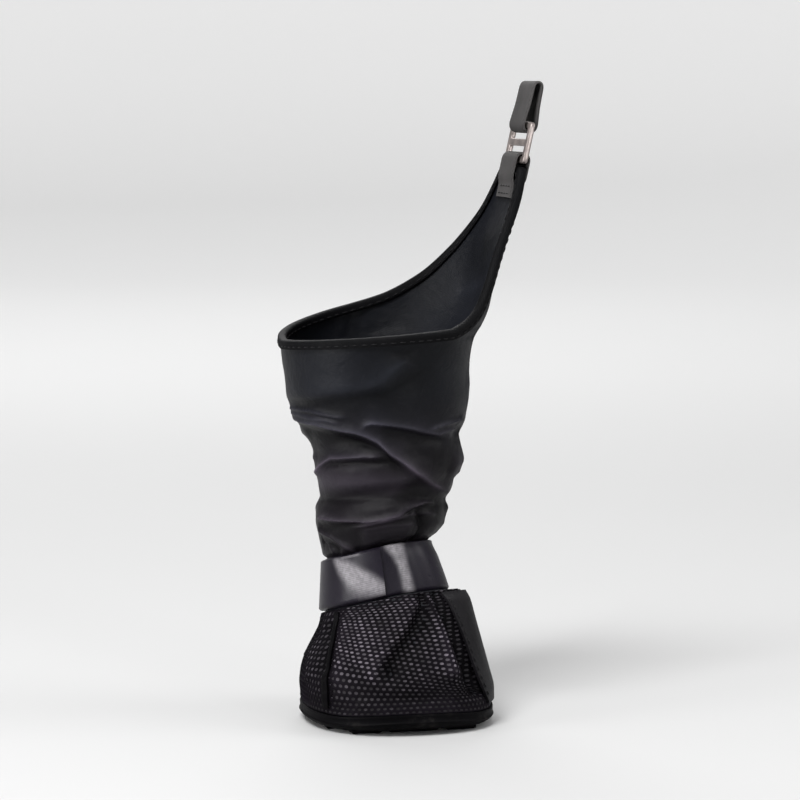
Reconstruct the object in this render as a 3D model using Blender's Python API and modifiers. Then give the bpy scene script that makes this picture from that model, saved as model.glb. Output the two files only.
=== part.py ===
"""Dog boot for a left front leg: a mesh foot bag in a thin rubber dish, a strap round the ankle, and
a slack nylon leg whose outer side rises into a flap that carries a webbing tab and an adjuster.

Metres, +Z up. The toe points to -Y and the outer side to +X. The origin is on the floor under the
middle of the foot, on the flat face of the sole's middle lug. Angles run round the leg in degrees:
0 is the outer side, 90 the back, 180 the inner side and -90 the front."""

import math
from collections import namedtuple

import bmesh
import bpy
from mathutils import Matrix, Vector

# Foot and sole
FOOT_LENGTH = 0.0660
BALL_WIDTH = 0.0584
LUG_HEIGHT = 0.0010
SOLE_THICKNESS = 0.0017
LIP_HEIGHT = 0.0054
LIP_WALL = 0.0010
STEP_DEPTH = 0.0005
STEP_HEIGHT = 0.0031
TOE_SPRING = 0.0016
ARCH_RISE = 0.0008
INSOLE_THICKNESS = 0.0020
LUG_LENGTH = 0.0068
LUG_MIDDLE_WIDTH = 0.0150
LUG_GROOVE = 0.0026
LUG_MARGIN = 0.0030

# Ankle, collar and flap, measured on the outer face of the leg's cloth
ANKLE_X = -0.0031
ANKLE_Y = 0.0115
ANKLE_WIDTH = 0.0308
ANKLE_DEPTH = 0.0350
COLLAR_WIDTH = 0.0597
COLLAR_DEPTH = 0.0640
COLLAR_HEIGHT = 0.1183
FLAP_RISE = 0.0470
FLAP_LEAN = 0.0147

# Strap
STRAP_FOOT = 0.0334
STRAP_HEIGHT = 0.0165
STRAP_WALL = 0.0011

# Walls and clearance
UPPER_WALL = 0.0016
SHAFT_WALL = 0.0011
PANEL_WALL = 0.0008
TAPE_WALL = 0.0006
BINDING_WALL = 0.0005
BINDING_DROP = 0.0021
GAP = 0.0003

# Webbing and adjuster
WEBBING_WIDTH = 0.0160
WEBBING_WALL = 0.0009
TAB_DROP = 0.0090
LOOP_RISE = 0.0125
BAR = 0.0022
SLOT = 0.0032
ADJUSTER_THICKNESS = 0.0016
ADJUSTER_SIDE = 0.0026
TAB_ANGLE = 3.0

Edges = namedtuple("Edges", "inner outer front back")
Section = namedtuple("Section", "height edges side fore square")
SoleRow = namedtuple("SoleRow", "inset height")
FootRow = namedtuple("FootRow", "rise inner outer front back side fore")
LegRow = namedtuple("LegRow", "rise inner outer front back side fore")
FlapRow = namedtuple("FlapRow", "rise lean")
EdgeRow = namedtuple("EdgeRow", "angle rise")
PanelRow = namedtuple("PanelRow", "rise front back")
LugRow = namedtuple("LugRow", "station sides")

FOOT = Edges(-BALL_WIDTH / 2, BALL_WIDTH / 2, -FOOT_LENGTH / 2, FOOT_LENGTH / 2)
ANKLE = Edges(ANKLE_X - ANKLE_WIDTH / 2, ANKLE_X + ANKLE_WIDTH / 2,
              ANKLE_Y - ANKLE_DEPTH / 2, ANKLE_Y + ANKLE_DEPTH / 2)
COLLAR = Edges(ANKLE_X - COLLAR_WIDTH / 2, ANKLE_X + COLLAR_WIDTH / 2,
               ANKLE_Y - COLLAR_DEPTH / 2, ANKLE_Y + COLLAR_DEPTH / 2)
STRAP_TOP = STRAP_FOOT + STRAP_HEIGHT
FLOOR = LUG_HEIGHT + SOLE_THICKNESS
SEAT = FLOOR + GAP
FOOT_SQUARE = 2.3
LEG_SQUARE = 2.0
WIDEST = 0.48
SPRING_START = 0.6
ARCH_MIDDLE = 0.27
ARCH_HALF = 0.19

# Foot bag from the dish to the strap. rise is a share of that height. The next four are shares of
# the way from the ankle's edge (0) to the foot's edge (1). side and fore are the slopes of the
# section's plane, up towards the outer side and up towards the toe.
FOOT_ROWS = [
    #       rise   inner  outer  front  back   side  fore
    FootRow(0.145, 0.985, 0.985, 0.985, 0.985, 0.00, 0.00),
    FootRow(0.256, 1.000, 0.940, 0.985, 1.000, 0.00, 0.00),
    FootRow(0.420, 0.980, 0.800, 0.915, 0.890, 0.03, 0.04),
    FootRow(0.620, 0.810, 0.655, 0.750, 0.660, 0.07, 0.08),
    FootRow(0.787, 0.590, 0.560, 0.530, 0.430, 0.11, 0.12),
    FootRow(0.904, 0.420, 0.510, 0.330, 0.290, 0.14, 0.16),
    FootRow(0.968, 0.230, 0.440, 0.160, 0.140, 0.16, 0.19),
]
# Under the strap. rise is a share of the strap's height. From here up, the four shares run from
# the ankle's edge (0) to the collar's edge (1).
STRAP_ROWS = [
    LegRow(0.000, 0.077, 0.390, 0.107, 0.030, 0.17, 0.21),
    LegRow(0.300, 0.055, 0.280, 0.080, 0.020, 0.17, 0.20),
    LegRow(0.650, 0.030, 0.140, 0.040, 0.010, 0.18, 0.19),
    LegRow(1.000, 0.000, 0.000, 0.000, 0.000, 0.18, 0.18),
]
# The slack leg, a row for each bulge or fold. rise is a share of strap to collar.
SHAFT_ROWS = [
    LegRow(0.032, 0.076, 0.230, 0.143, 0.133, 0.18, 0.18),
    LegRow(0.075, 0.118, 0.388, 0.214, 0.210, 0.17, 0.17),
    LegRow(0.133, 0.200, 0.394, 0.270, 0.170, 0.16, 0.16),
    LegRow(0.190, 0.242, 0.367, 0.325, 0.290, 0.14, 0.15),
    LegRow(0.235, 0.220, 0.520, 0.285, 0.300, 0.12, 0.13),
    LegRow(0.287, 0.135, 0.650, 0.186, 0.270, 0.10, 0.11),
    LegRow(0.345, 0.097, 0.720, 0.400, 0.430, 0.09, 0.09),
    LegRow(0.418, 0.220, 0.750, 0.514, 0.450, 0.08, 0.08),
    LegRow(0.477, 0.250, 0.710, 0.470, 0.360, 0.08, 0.06),
    LegRow(0.520, 0.330, 0.685, 0.340, 0.400, 0.07, 0.06),
    LegRow(0.586, 0.520, 0.817, 0.530, 0.560, 0.07, 0.05),
    LegRow(0.681, 0.690, 0.880, 0.680, 0.700, 0.07, 0.04),
    LegRow(0.776, 0.824, 0.865, 0.790, 0.790, 0.07, 0.03),
    LegRow(0.864, 0.907, 0.900, 0.886, 0.900, 0.07, 0.03),
    LegRow(0.952, 0.980, 0.990, 0.970, 0.980, 0.07, 0.03),
]
# Above the collar only the outer side goes on, leaning out. lean is a share of the flap's lean.
FLAP_ROWS = [
    FlapRow(0.00, 0.14),
    FlapRow(0.12, 0.34),
    FlapRow(0.46, 0.63),
    FlapRow(0.78, 0.86),
    FlapRow(1.00, 1.00),
]
# The top edge round the leg. rise is a share of the flap's rise.
TOP_EDGE = [
    EdgeRow(-180, 0.00),
    EdgeRow(-60, 0.00),
    EdgeRow(-50, 0.03),
    EdgeRow(-41, 0.10),
    EdgeRow(-34, 0.24),
    EdgeRow(-28, 0.42),
    EdgeRow(-23, 0.66),
    EdgeRow(-19, 0.90),
    EdgeRow(-15, 1.00),
    EdgeRow(21, 1.00),
    EdgeRow(27, 0.90),
    EdgeRow(35, 0.70),
    EdgeRow(45, 0.50),
    EdgeRow(60, 0.32),
    EdgeRow(80, 0.20),
    EdgeRow(115, 0.12),
    EdgeRow(180, 0.00),
]
# Where the outer panel starts and ends, in degrees, up the foot bag.
PANEL_ROWS = [
    PanelRow(0.145, -37, 66),
    PanelRow(0.256, -42, 68),
    PanelRow(0.420, -47, 70),
    PanelRow(0.620, -50, 72),
    PanelRow(0.787, -54, 74),
    PanelRow(0.904, -58, 75),
    PanelRow(0.968, -61, 76),
]
# The dish, from the middle of its underside round the lip to the middle of its floor.
SOLE_ROWS = [
    SoleRow(0.0120, LUG_HEIGHT),
    SoleRow(0.0026, LUG_HEIGHT),
    SoleRow(0.0011, LUG_HEIGHT + 0.35 * SOLE_THICKNESS),
    SoleRow(0.0002, FLOOR - GAP),
    SoleRow(0.0000, STEP_HEIGHT - GAP),
    SoleRow(STEP_DEPTH, STEP_HEIGHT),
    SoleRow(STEP_DEPTH, LIP_HEIGHT - GAP),
    SoleRow(STEP_DEPTH + 0.3 * LIP_WALL, LIP_HEIGHT),
    SoleRow(STEP_DEPTH + LIP_WALL, LIP_HEIGHT),
    SoleRow(STEP_DEPTH + LIP_WALL, FLOOR),
    SoleRow(0.0120, FLOOR),
]
# Lug rows, at shares of half the foot's length; sides says whether side lugs flank the middle one.
LUG_ROWS = [
    LugRow(-0.62, True),
    LugRow(-0.31, True),
    LugRow(0.00, True),
    LugRow(0.52, True),
    LugRow(0.80, False),
]
TURN = [(-180, -80, 9), (-80, -30, 8), (-30, 36, 12), (36, 100, 7), (100, 180, 7)]


def turn_angles():
    """Angles once round the leg, closer together on the outer side, where the flap is."""
    return [start + (end - start) * step / steps
            for start, end, steps in TURN for step in range(steps)]


def mix(start, end, share):
    return start + (end - start) * share


def spread(near, far, row):
    """Edges of a section, each its own share of the way from one set of edges to another."""
    shares = (row.inner, row.outer, row.front, row.back)
    return Edges(*(mix(a, b, share) for a, b, share in zip(near, far, shares)))


def grown(edges, by):
    return Edges(edges.inner - by, edges.outer + by, edges.front - by, edges.back + by)


def foot_section(height, inset=0.0):
    return Section(height, grown(FOOT, -inset), 0.0, 0.0, FOOT_SQUARE)


def leg_sections():
    """The leg's outer face, from the strap's lower edge to the flap's tip."""
    sections = []
    for row in STRAP_ROWS:
        height = STRAP_FOOT + row.rise * STRAP_HEIGHT
        sections.append(Section(height, spread(ANKLE, COLLAR, row), row.side, row.fore, LEG_SQUARE))
    for row in SHAFT_ROWS:
        height = mix(STRAP_TOP, COLLAR_HEIGHT, row.rise)
        sections.append(Section(height, spread(ANKLE, COLLAR, row), row.side, row.fore, LEG_SQUARE))
    last = SHAFT_ROWS[-1]
    for row in FLAP_ROWS:
        edges = COLLAR._replace(outer=COLLAR.outer + row.lean * FLAP_LEAN)
        height = COLLAR_HEIGHT + row.rise * FLAP_RISE
        sections.append(Section(height, edges, last.side, last.fore, LEG_SQUARE))
    return sections


LEG = leg_sections()


def leg_section(height):
    """The section at any height, on a smooth curve through the rows."""
    last = len(LEG) - 1
    index = max(i for i in range(last) if LEG[i].height <= height or i == 0)
    before, low, high, after = (LEG[min(max(i, 0), last)] for i in range(index - 1, index + 3))
    share = (height - low.height) / (high.height - low.height)

    def smooth(a, b, c, d):
        slope_low = (c - a) / 2
        slope_high = (d - b) / 2
        return (b * (1 + 2 * share) * (1 - share) ** 2 + c * (3 - 2 * share) * share ** 2
                + slope_low * share * (1 - share) ** 2 - slope_high * (1 - share) * share ** 2)

    edges = Edges(*map(smooth, before.edges, low.edges, high.edges, after.edges))
    return Section(height, edges, mix(low.side, high.side, share), mix(low.fore, high.fore, share),
                   LEG_SQUARE)


def ring_point(section, angle, grow=0.0):
    """A point of a section, or of the same section grown outwards by a distance."""
    across, along = math.cos(math.radians(angle)), math.sin(math.radians(angle))
    power = 2 / section.square
    edges = section.edges
    middle_x = (edges.inner + edges.outer) / 2
    middle_y = mix(edges.front, edges.back, WIDEST)
    reach_x = (edges.outer - edges.inner) / 2 + grow
    reach_y = (edges.back - middle_y if along > 0 else middle_y - edges.front) + grow
    x = middle_x + reach_x * math.copysign(abs(across) ** power, across)
    y = middle_y + reach_y * math.copysign(abs(along) ** power, along)
    z = section.height + section.side * (x - ANKLE_X) - section.fore * (y - ANKLE_Y)
    return Vector((x, y, z))


def toe_spring(y):
    start = FOOT.front * SPRING_START
    share = max(0.0, (y - start) / (FOOT.front - start))
    return TOE_SPRING * share ** 2


def arch(y):
    share = abs(y / FOOT.back - ARCH_MIDDLE) / ARCH_HALF
    return ARCH_RISE * math.cos(share * math.pi / 2) ** 2 if share < 1 else 0.0


def foot_point(section, angle, grow=0.0):
    point = ring_point(section, angle, grow)
    fade = 1 - min(1.0, max(0.0, (section.height - SEAT) / (STRAP_FOOT - SEAT)))
    point.z += toe_spring(point.y) * fade
    return point


def leg_point(height, angle, grow=0.0):
    """A point of the leg's cloth. Above the collar the outer side flattens towards the flap's tip."""
    section = leg_section(height)
    point = ring_point(section, angle, grow)
    share = min(1.0, max(0.0, (height - COLLAR_HEIGHT) / FLAP_RISE))
    facing = max(0.0, math.cos(math.radians(angle))) ** 2
    flat = share * share * (3 - 2 * share) * facing
    shift = flat * (section.edges.outer + grow - point.x)
    return point + Vector((shift, 0.0, section.side * shift))


def top_height(angle):
    """Height of the top edge at an angle, before the section's slope."""
    angle = (angle + 180) % 360 - 180
    for low, high in zip(TOP_EDGE, TOP_EDGE[1:]):
        if low.angle <= angle <= high.angle:
            share = (angle - low.angle) / (high.angle - low.angle)
            return COLLAR_HEIGHT + FLAP_RISE * mix(low.rise, high.rise, share)
    return COLLAR_HEIGHT


def make_object(name, mesh, colour, roughness, metallic=0.0):
    """Links the mesh to the part's collection, with a material of its own."""
    material = bpy.data.materials.new(name)
    material.use_nodes = True
    shader = material.node_tree.nodes["Principled BSDF"]
    shader.inputs["Base Color"].default_value = (*colour, 1.0)
    shader.inputs["Roughness"].default_value = roughness
    shader.inputs["Metallic"].default_value = metallic
    mesh.materials.append(material)
    part = bpy.data.objects.new(name, mesh)
    PARTS.objects.link(part)
    return part


def make_cutter(name, mesh):
    cutter = bpy.data.objects.new(name, mesh)
    cutter.hide_render = True
    cutter.display_type = "WIRE"
    CUTTERS.objects.link(cutter)
    return cutter


def mesh_from(work, name):
    """A mesh from a bmesh whose faces are turned outwards."""
    bmesh.ops.recalc_face_normals(work, faces=work.faces)
    mesh = bpy.data.meshes.new(name)
    work.to_mesh(mesh)
    work.free()
    mesh.shade_smooth()
    mesh.set_sharp_from_angle(angle=math.radians(40))
    return mesh


def sweep(name, profiles, closed):
    """A solid through closed profiles of equal length: a ring, or a strip with its ends capped."""
    work = bmesh.new()
    loops = [[work.verts.new(point) for point in profile] for profile in profiles]
    following = loops[1:] + loops[:1] if closed else loops[1:]
    for loop, after in zip(loops, following):
        for index in range(len(loop)):
            work.faces.new((loop[index - 1], loop[index], after[index], after[index - 1]))
    if not closed:
        work.faces.new(loops[0])
        work.faces.new(loops[-1])
    return mesh_from(work, name)


def wall(outer, inner):
    """A wall's cross-section: up its outer face and down its inner one."""
    return list(outer) + list(reversed(inner))


def outsole():
    """The rubber dish: rings from the underside round the lip to the floor, and the lugs."""
    angles = turn_angles()
    work = bmesh.new()
    loops = []
    for index, row in enumerate(SOLE_ROWS):
        loop = []
        for angle in angles:
            point = foot_point(foot_section(row.height, row.inset), angle)
            if index < 3:
                point.z += arch(point.y)
            loop.append(work.verts.new(point))
        loops.append(loop)
    for low, high in zip(loops, loops[1:]):
        for index in range(len(low)):
            work.faces.new((low[index - 1], low[index], high[index], high[index - 1]))
    for loop in (loops[0], loops[-1]):
        rim = [work.edges.get((loop[i - 1], loop[i])) for i in range(len(loop))]
        bmesh.ops.triangle_fill(work, use_beauty=True, edges=rim)
    dish = make_object("outsole", mesh_from(work, "outsole"), (0.012, 0.012, 0.013), 0.75)
    union = dish.modifiers.new("lugs", "BOOLEAN")
    union.operation = "UNION"
    union.solver = "EXACT"
    union.object = lugs()


def half_width(y):
    """Half the sole's width at a place along it."""
    middle_y = mix(FOOT.front, FOOT.back, WIDEST)
    reach = FOOT.back - middle_y if y > middle_y else middle_y - FOOT.front
    share = min(1.0, abs(y - middle_y) / reach)
    return FOOT.outer * (1 - share ** FOOT_SQUARE) ** (1 / FOOT_SQUARE)


def lugs():
    """Flat-faced blocks under the forefoot and the heel, all standing on the floor."""
    work = bmesh.new()
    half_length = LUG_LENGTH / 2
    for row in LUG_ROWS:
        y = row.station * FOOT.back
        reach = min(half_width(y - half_length), half_width(y + half_length)) - LUG_MARGIN
        start = LUG_MIDDLE_WIDTH / 2 + LUG_GROOVE
        spans = [(-LUG_MIDDLE_WIDTH / 2, LUG_MIDDLE_WIDTH / 2)]
        if row.sides:
            spans += [(start, reach), (-reach, -start)]
        for left, right in spans:
            height = LUG_HEIGHT + SOLE_THICKNESS / 2
            size = Matrix.Diagonal((right - left, LUG_LENGTH, height, 1))
            place = Matrix.Translation(((left + right) / 2, y, height / 2))
            bmesh.ops.create_cube(work, size=1.0, matrix=place @ size)
    return make_cutter("lugs", mesh_from(work, "lugs"))


def insole():
    """A flat foam sheet on the floor of the dish, clear of the bag's wall."""
    inset = STEP_DEPTH + LIP_WALL + GAP + UPPER_WALL + GAP
    work = bmesh.new()
    loops = []
    for share in (0.0, 1.0):
        section = foot_section(SEAT + share * INSOLE_THICKNESS, inset)
        loops.append([work.verts.new(foot_point(section, angle)) for angle in turn_angles()])
    low, high = loops
    for index in range(len(low)):
        work.faces.new((low[index - 1], low[index], high[index], high[index - 1]))
    for loop in loops:
        rim = [work.edges.get((loop[i - 1], loop[i])) for i in range(len(loop))]
        bmesh.ops.triangle_fill(work, use_beauty=True, edges=rim)
    make_object("insole", mesh_from(work, "insole"), (0.05, 0.05, 0.052), 0.9)


def bag_sections():
    """The foot bag from its seat in the dish, out over the lip, and in under the strap."""
    seat_inset = STEP_DEPTH + LIP_WALL + GAP
    sections = [foot_section(SEAT, seat_inset), foot_section(LIP_HEIGHT, seat_inset)]
    low = leg_section(STRAP_FOOT)
    for row in FOOT_ROWS:
        height = mix(SEAT, STRAP_FOOT, row.rise)
        square = mix(FOOT_SQUARE, LEG_SQUARE, row.rise)
        sections.append(Section(height, spread(low.edges, FOOT, row), row.side, row.fore, square))
    return sections


def tucked_sections():
    """The bag's collar: flush under the strap's lower part, then stepped in under the leg's hem."""
    tuck = SHAFT_WALL + GAP
    sections = [leg_section(STRAP_FOOT)._replace(height=STRAP_FOOT - GAP)]
    for share, inset in ((0.26, 0.0), (0.33, tuck), (0.52, tuck), (0.74, tuck)):
        section = leg_section(STRAP_FOOT + share * STRAP_HEIGHT)
        sections.append(section._replace(edges=grown(section.edges, -inset)))
    return sections


def upper():
    """The mesh foot bag: one wall, open at the ankle and where the dish closes it below."""
    sections = bag_sections() + tucked_sections()
    profiles = []
    for angle in turn_angles():
        outer = [foot_point(section, angle) for section in sections]
        inner = [foot_point(section, angle, -UPPER_WALL) for section in sections]
        profiles.append(wall(outer, inner))
    make_object("upper", sweep("upper", profiles, True), (0.02, 0.02, 0.022), 0.85)


def side_panel():
    """The smooth panel on the bag's outer side, offset from the bag's own sections."""
    sections = bag_sections()[2:]
    steps = 14
    profiles = []
    for step in range(steps + 1):
        outer, inner = [], []
        for section, row in zip(sections, PANEL_ROWS):
            angle = mix(row.front, row.back, step / steps)
            inner.append(foot_point(section, angle, GAP))
            outer.append(foot_point(section, angle, GAP + PANEL_WALL))
        profiles.append(wall(outer, inner))
    make_object("side_panel", sweep("side_panel", profiles, False), (0.03, 0.03, 0.033), 0.5)


def seam_tape():
    """The narrow tape down the inner front of the bag."""
    middle, half = -151, 2.6
    profiles = []
    for angle in (middle - half, middle, middle + half):
        sections = bag_sections()[2:]
        outer = [foot_point(section, angle, GAP + TAPE_WALL) for section in sections]
        inner = [foot_point(section, angle, GAP) for section in sections]
        profiles.append(wall(outer, inner))
    make_object("seam_tape", sweep("seam_tape", profiles, False), (0.035, 0.035, 0.038), 0.6)


def strap_profile(angle, low, high, grow):
    """The strap's cross-section at an angle, between two shares of its height."""
    heights = [STRAP_FOOT + mix(low, high, row.rise) * STRAP_HEIGHT for row in STRAP_ROWS]
    outer = [leg_point(height, angle, grow + STRAP_WALL) for height in heights]
    inner = [leg_point(height, angle, grow) for height in heights]
    return wall(outer, inner)


def ankle_strap():
    profiles = [strap_profile(angle, 0.0, 1.0, GAP) for angle in turn_angles()]
    make_object("ankle_strap", sweep("ankle_strap", profiles, True), (0.03, 0.03, 0.034), 0.25)


def strap_end():
    """The strap's free end, from the front round the inner side to the back."""
    start, end, steps = -104, -236, 14
    grow = GAP + STRAP_WALL + GAP
    profiles = [strap_profile(mix(start, end, step / steps), 0.03, 0.97, grow)
                for step in range(steps + 1)]
    make_object("strap_end", sweep("strap_end", profiles, False), (0.04, 0.04, 0.045), 0.22)


def shaft_heights(angle):
    """Heights up the leg at an angle: the rows' own below the collar, then even steps to the top."""
    hem = STRAP_FOOT + 0.37 * STRAP_HEIGHT
    top = top_height(angle)
    fixed = [section.height for section in LEG if hem < section.height < COLLAR_HEIGHT][:-1]
    start = fixed[-1]
    steps = 6
    return [hem] + fixed + [mix(start, top, step / steps) for step in range(1, steps + 1)]


def shaft():
    """The slack leg and its flap: one wall, open at both ends."""
    profiles = []
    for angle in turn_angles():
        heights = shaft_heights(angle)
        outer = [leg_point(height, angle) for height in heights]
        inner = [leg_point(height, angle, -SHAFT_WALL) for height in heights]
        profiles.append(wall(outer, inner))
    make_object("shaft", sweep("shaft", profiles, True), (0.028, 0.029, 0.033), 0.45)


def edge_frame(angle):
    """On the top edge at an angle: its middle, the way out of the leg, and the way up the cloth."""
    half = -SHAFT_WALL / 2
    step = 1.0
    top = leg_point(top_height(angle), angle, half)
    along = (leg_point(top_height(angle + step), angle + step, half)
             - leg_point(top_height(angle - step), angle - step, half)).normalized()
    below = leg_point(top_height(angle) - BINDING_DROP, angle, half)
    up = (top - below).normalized()
    out = along.cross(up).normalized()
    return top, out, out.cross(along).normalized()


def collar_binding():
    """Tape folded over the top edge of leg and flap."""
    hollow = SHAFT_WALL / 2 + GAP
    half = hollow + BINDING_WALL
    crown = GAP + BINDING_WALL
    section = [(half, -BINDING_DROP), (half, crown - BINDING_WALL / 2), (half - BINDING_WALL / 2, crown),
               (BINDING_WALL / 2 - half, crown), (-half, crown - BINDING_WALL / 2),
               (-half, -BINDING_DROP), (-hollow, -BINDING_DROP), (-hollow, GAP), (hollow, GAP),
               (hollow, -BINDING_DROP)]
    profiles = []
    for angle in turn_angles():
        top, out, up = edge_frame(angle)
        profiles.append([top + out * side + up * rise for side, rise in section])
    mesh = sweep("collar_binding", profiles, True)
    make_object("collar_binding", mesh, (0.01, 0.01, 0.012), 0.55)


def flap_frame():
    """At the middle of the flap's tip: its place, and the matrix of its across, out and up."""
    top = leg_point(COLLAR_HEIGHT + FLAP_RISE, TAB_ANGLE, -SHAFT_WALL / 2)
    below = leg_point(COLLAR_HEIGHT + FLAP_RISE - TAB_DROP, TAB_ANGLE, -SHAFT_WALL / 2)
    up = (top - below).normalized()
    across = Vector((0.0, 1.0, 0.0))
    out = across.cross(up).normalized()
    turn = Matrix((across, out, up)).transposed()
    return Matrix.Translation(top) @ turn.to_4x4()


def arc(centre, radius, start, end, steps):
    """Points of an arc in the plane of out and up."""
    angles = [math.radians(mix(start, end, step / steps)) for step in range(steps + 1)]
    return [(radius * math.cos(angle), centre + radius * math.sin(angle)) for angle in angles]


def band(name, path, closed):
    """A flat webbing band, as wide as the webbing, that follows a path of (out, up) pairs."""
    place = flap_frame()
    half = WEBBING_WIDTH / 2
    count = len(path)
    profiles = []
    for index, (out, up) in enumerate(path):
        before = path[index - 1] if closed or index > 0 else path[index]
        after = path[(index + 1) % count] if closed or index < count - 1 else path[index]
        run = Vector((after[0] - before[0], after[1] - before[1])).normalized()
        side = Vector((run.y, -run.x)) * WEBBING_WALL / 2
        corners = [(-half, 1), (half, 1), (half, -1), (-half, -1)]
        profiles.append([place @ Vector((across, out + way * side.x, up + way * side.y))
                         for across, way in corners])
    return sweep(name, profiles, closed)


LOOP_RADIUS = math.hypot(BAR, ADJUSTER_THICKNESS) / 2 + GAP + WEBBING_WALL / 2
BINDING_HALF = SHAFT_WALL / 2 + GAP + BINDING_WALL
LOWER_BAR_UP = GAP + BINDING_WALL + GAP + LOOP_RADIUS


def flap_tab():
    """Webbing folded round the adjuster's lower bar, its ends down both faces of the flap's tip."""
    close = SHAFT_WALL / 2 + GAP + WEBBING_WALL / 2
    clear = BINDING_HALF + GAP + WEBBING_WALL / 2
    leg = [(close, -TAB_DROP), (close, -2.2 * BINDING_DROP), (clear, -1.3 * BINDING_DROP), (clear, 0.0)]
    bend = arc(LOWER_BAR_UP, LOOP_RADIUS, -10, 190, 10)
    path = leg + bend + [(-out, up) for out, up in reversed(leg)]
    make_object("flap_tab", band("flap_tab", path, False), (0.05, 0.05, 0.052), 0.7)


def adjuster():
    """The slide: a plate with rounded corners and two slots, held by the webbing in both."""
    length = 3 * BAR + 2 * SLOT
    width = WEBBING_WIDTH + 2 * GAP + 2 * ADJUSTER_SIDE
    work = bmesh.new()
    bmesh.ops.create_cube(work, size=1.0, matrix=Matrix.Diagonal((width, ADJUSTER_THICKNESS, length, 1)))
    plate = make_object("adjuster", mesh_from(work, "adjuster"), (0.62, 0.58, 0.52), 0.35, 0.6)
    middle = LOWER_BAR_UP - BAR / 2 + length / 2
    plate.matrix_world = flap_frame() @ Matrix.Translation((0.0, 0.0, middle))
    edge = plate.modifiers.new("rounded", "BEVEL")
    edge.width = ADJUSTER_THICKNESS / 4
    edge.segments = 2
    for index, side in enumerate((-1, 1)):
        work = bmesh.new()
        size = Matrix.Diagonal((WEBBING_WIDTH + 2 * GAP, 2 * ADJUSTER_THICKNESS, SLOT, 1))
        bmesh.ops.create_cube(work, size=1.0, matrix=size)
        cutter = make_cutter(f"slot_{index}", mesh_from(work, f"slot_{index}"))
        shift = Matrix.Translation((0.0, 0.0, side * (BAR + SLOT) / 2))
        cutter.matrix_world = plate.matrix_world @ shift
        cut = plate.modifiers.new(f"slot {index}", "BOOLEAN")
        cut.operation = "DIFFERENCE"
        cut.solver = "EXACT"
        cut.object = cutter


def webbing_loop():
    """The short closed loop of webbing round the adjuster's upper bar."""
    upper_bar = LOWER_BAR_UP + 2 * (BAR + SLOT)
    top = upper_bar + LOOP_RISE
    fold = 0.62 * LOOP_RADIUS
    path = (arc(upper_bar, LOOP_RADIUS, 180, 360, 8)
            + [(mix(LOOP_RADIUS, fold, 0.8), mix(upper_bar, top, 0.5))]
            + arc(top, fold, 0, 180, 6)
            + [(-mix(LOOP_RADIUS, fold, 0.8), mix(upper_bar, top, 0.5))])
    make_object("webbing_loop", band("webbing_loop", path, True), (0.12, 0.12, 0.115), 0.8)


for leftover in list(bpy.data.objects):
    bpy.data.objects.remove(leftover, do_unlink=True)
PARTS = bpy.data.collections.new("dog_boot")
CUTTERS = bpy.data.collections.new("cutters")
bpy.context.scene.collection.children.link(PARTS)
bpy.context.scene.collection.children.link(CUTTERS)

outsole()
insole()
upper()
side_panel()
seam_tape()
ankle_strap()
strap_end()
shaft()
collar_binding()
flap_tab()
adjuster()
webbing_loop()
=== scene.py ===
"""Dog boot for a left front leg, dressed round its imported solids: mesh foot bag in a rubber dish,
glossy ankle strap, slack nylon leg with a flap, webbing tab and slide.

Metres, +Z up. The toe points to -Y and the outer side to +X. Angles run round the leg in degrees:
0 is the outer side, 90 the back, 180 the inner side and -90 the front."""

import math
import random

import bmesh
import bpy
import numpy as np
from bpy.props import FloatProperty, FloatVectorProperty, PointerProperty
from bpy.types import Operator, Panel, PropertyGroup
from mathutils import Matrix, Vector


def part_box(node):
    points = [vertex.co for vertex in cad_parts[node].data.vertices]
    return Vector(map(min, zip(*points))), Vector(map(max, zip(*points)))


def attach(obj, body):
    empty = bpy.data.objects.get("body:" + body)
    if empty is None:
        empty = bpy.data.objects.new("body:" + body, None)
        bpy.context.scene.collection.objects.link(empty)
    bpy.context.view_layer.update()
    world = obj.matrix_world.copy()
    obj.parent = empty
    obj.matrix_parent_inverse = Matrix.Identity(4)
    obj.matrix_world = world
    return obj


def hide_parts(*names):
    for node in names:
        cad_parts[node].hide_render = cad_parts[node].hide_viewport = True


bl_info = {
    "name": "Dog Boot",
    "version": (1, 0, 0),
    "blender": (4, 5, 0),
    "location": "3D View > Sidebar > Dog Boot",
    "description": "Dresses the packed dog boot: cloth, mesh, strap, rubber, webbing and studio",
    "category": "Object",
}

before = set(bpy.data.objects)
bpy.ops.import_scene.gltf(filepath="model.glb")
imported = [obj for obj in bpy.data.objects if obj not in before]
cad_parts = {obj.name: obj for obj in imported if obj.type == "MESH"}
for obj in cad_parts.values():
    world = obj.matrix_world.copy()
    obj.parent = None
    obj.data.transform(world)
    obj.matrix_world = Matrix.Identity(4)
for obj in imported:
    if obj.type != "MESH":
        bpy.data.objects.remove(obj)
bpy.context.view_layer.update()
SOLE_LOW, SOLE_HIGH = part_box("outsole")

# Edges are given in the order inner, outer, front and back.
INWARDS = np.array([1, -1, 1, -1])

# Foot and sole
FOOT = np.array([SOLE_LOW.x, SOLE_HIGH.x, SOLE_LOW.y, SOLE_HIGH.y])
LUG_HEIGHT = 0.0010
LUG_SINK = 0.0002
SOLE_THICKNESS = 0.0017
LIP_HEIGHT = 0.0054
LIP_WALL = 0.0010
STEP_DEPTH = 0.0005
STEP_HEIGHT = 0.0031
TOE_SPRING = 0.0016
SPRING_START = 0.6
ARCH_RISE = 0.0008
ARCH_MIDDLE = 0.27
ARCH_HALF = 0.19
FOOT_SQUARE = 2.3
LEG_SQUARE = 2.0
WIDEST = 0.48

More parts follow.
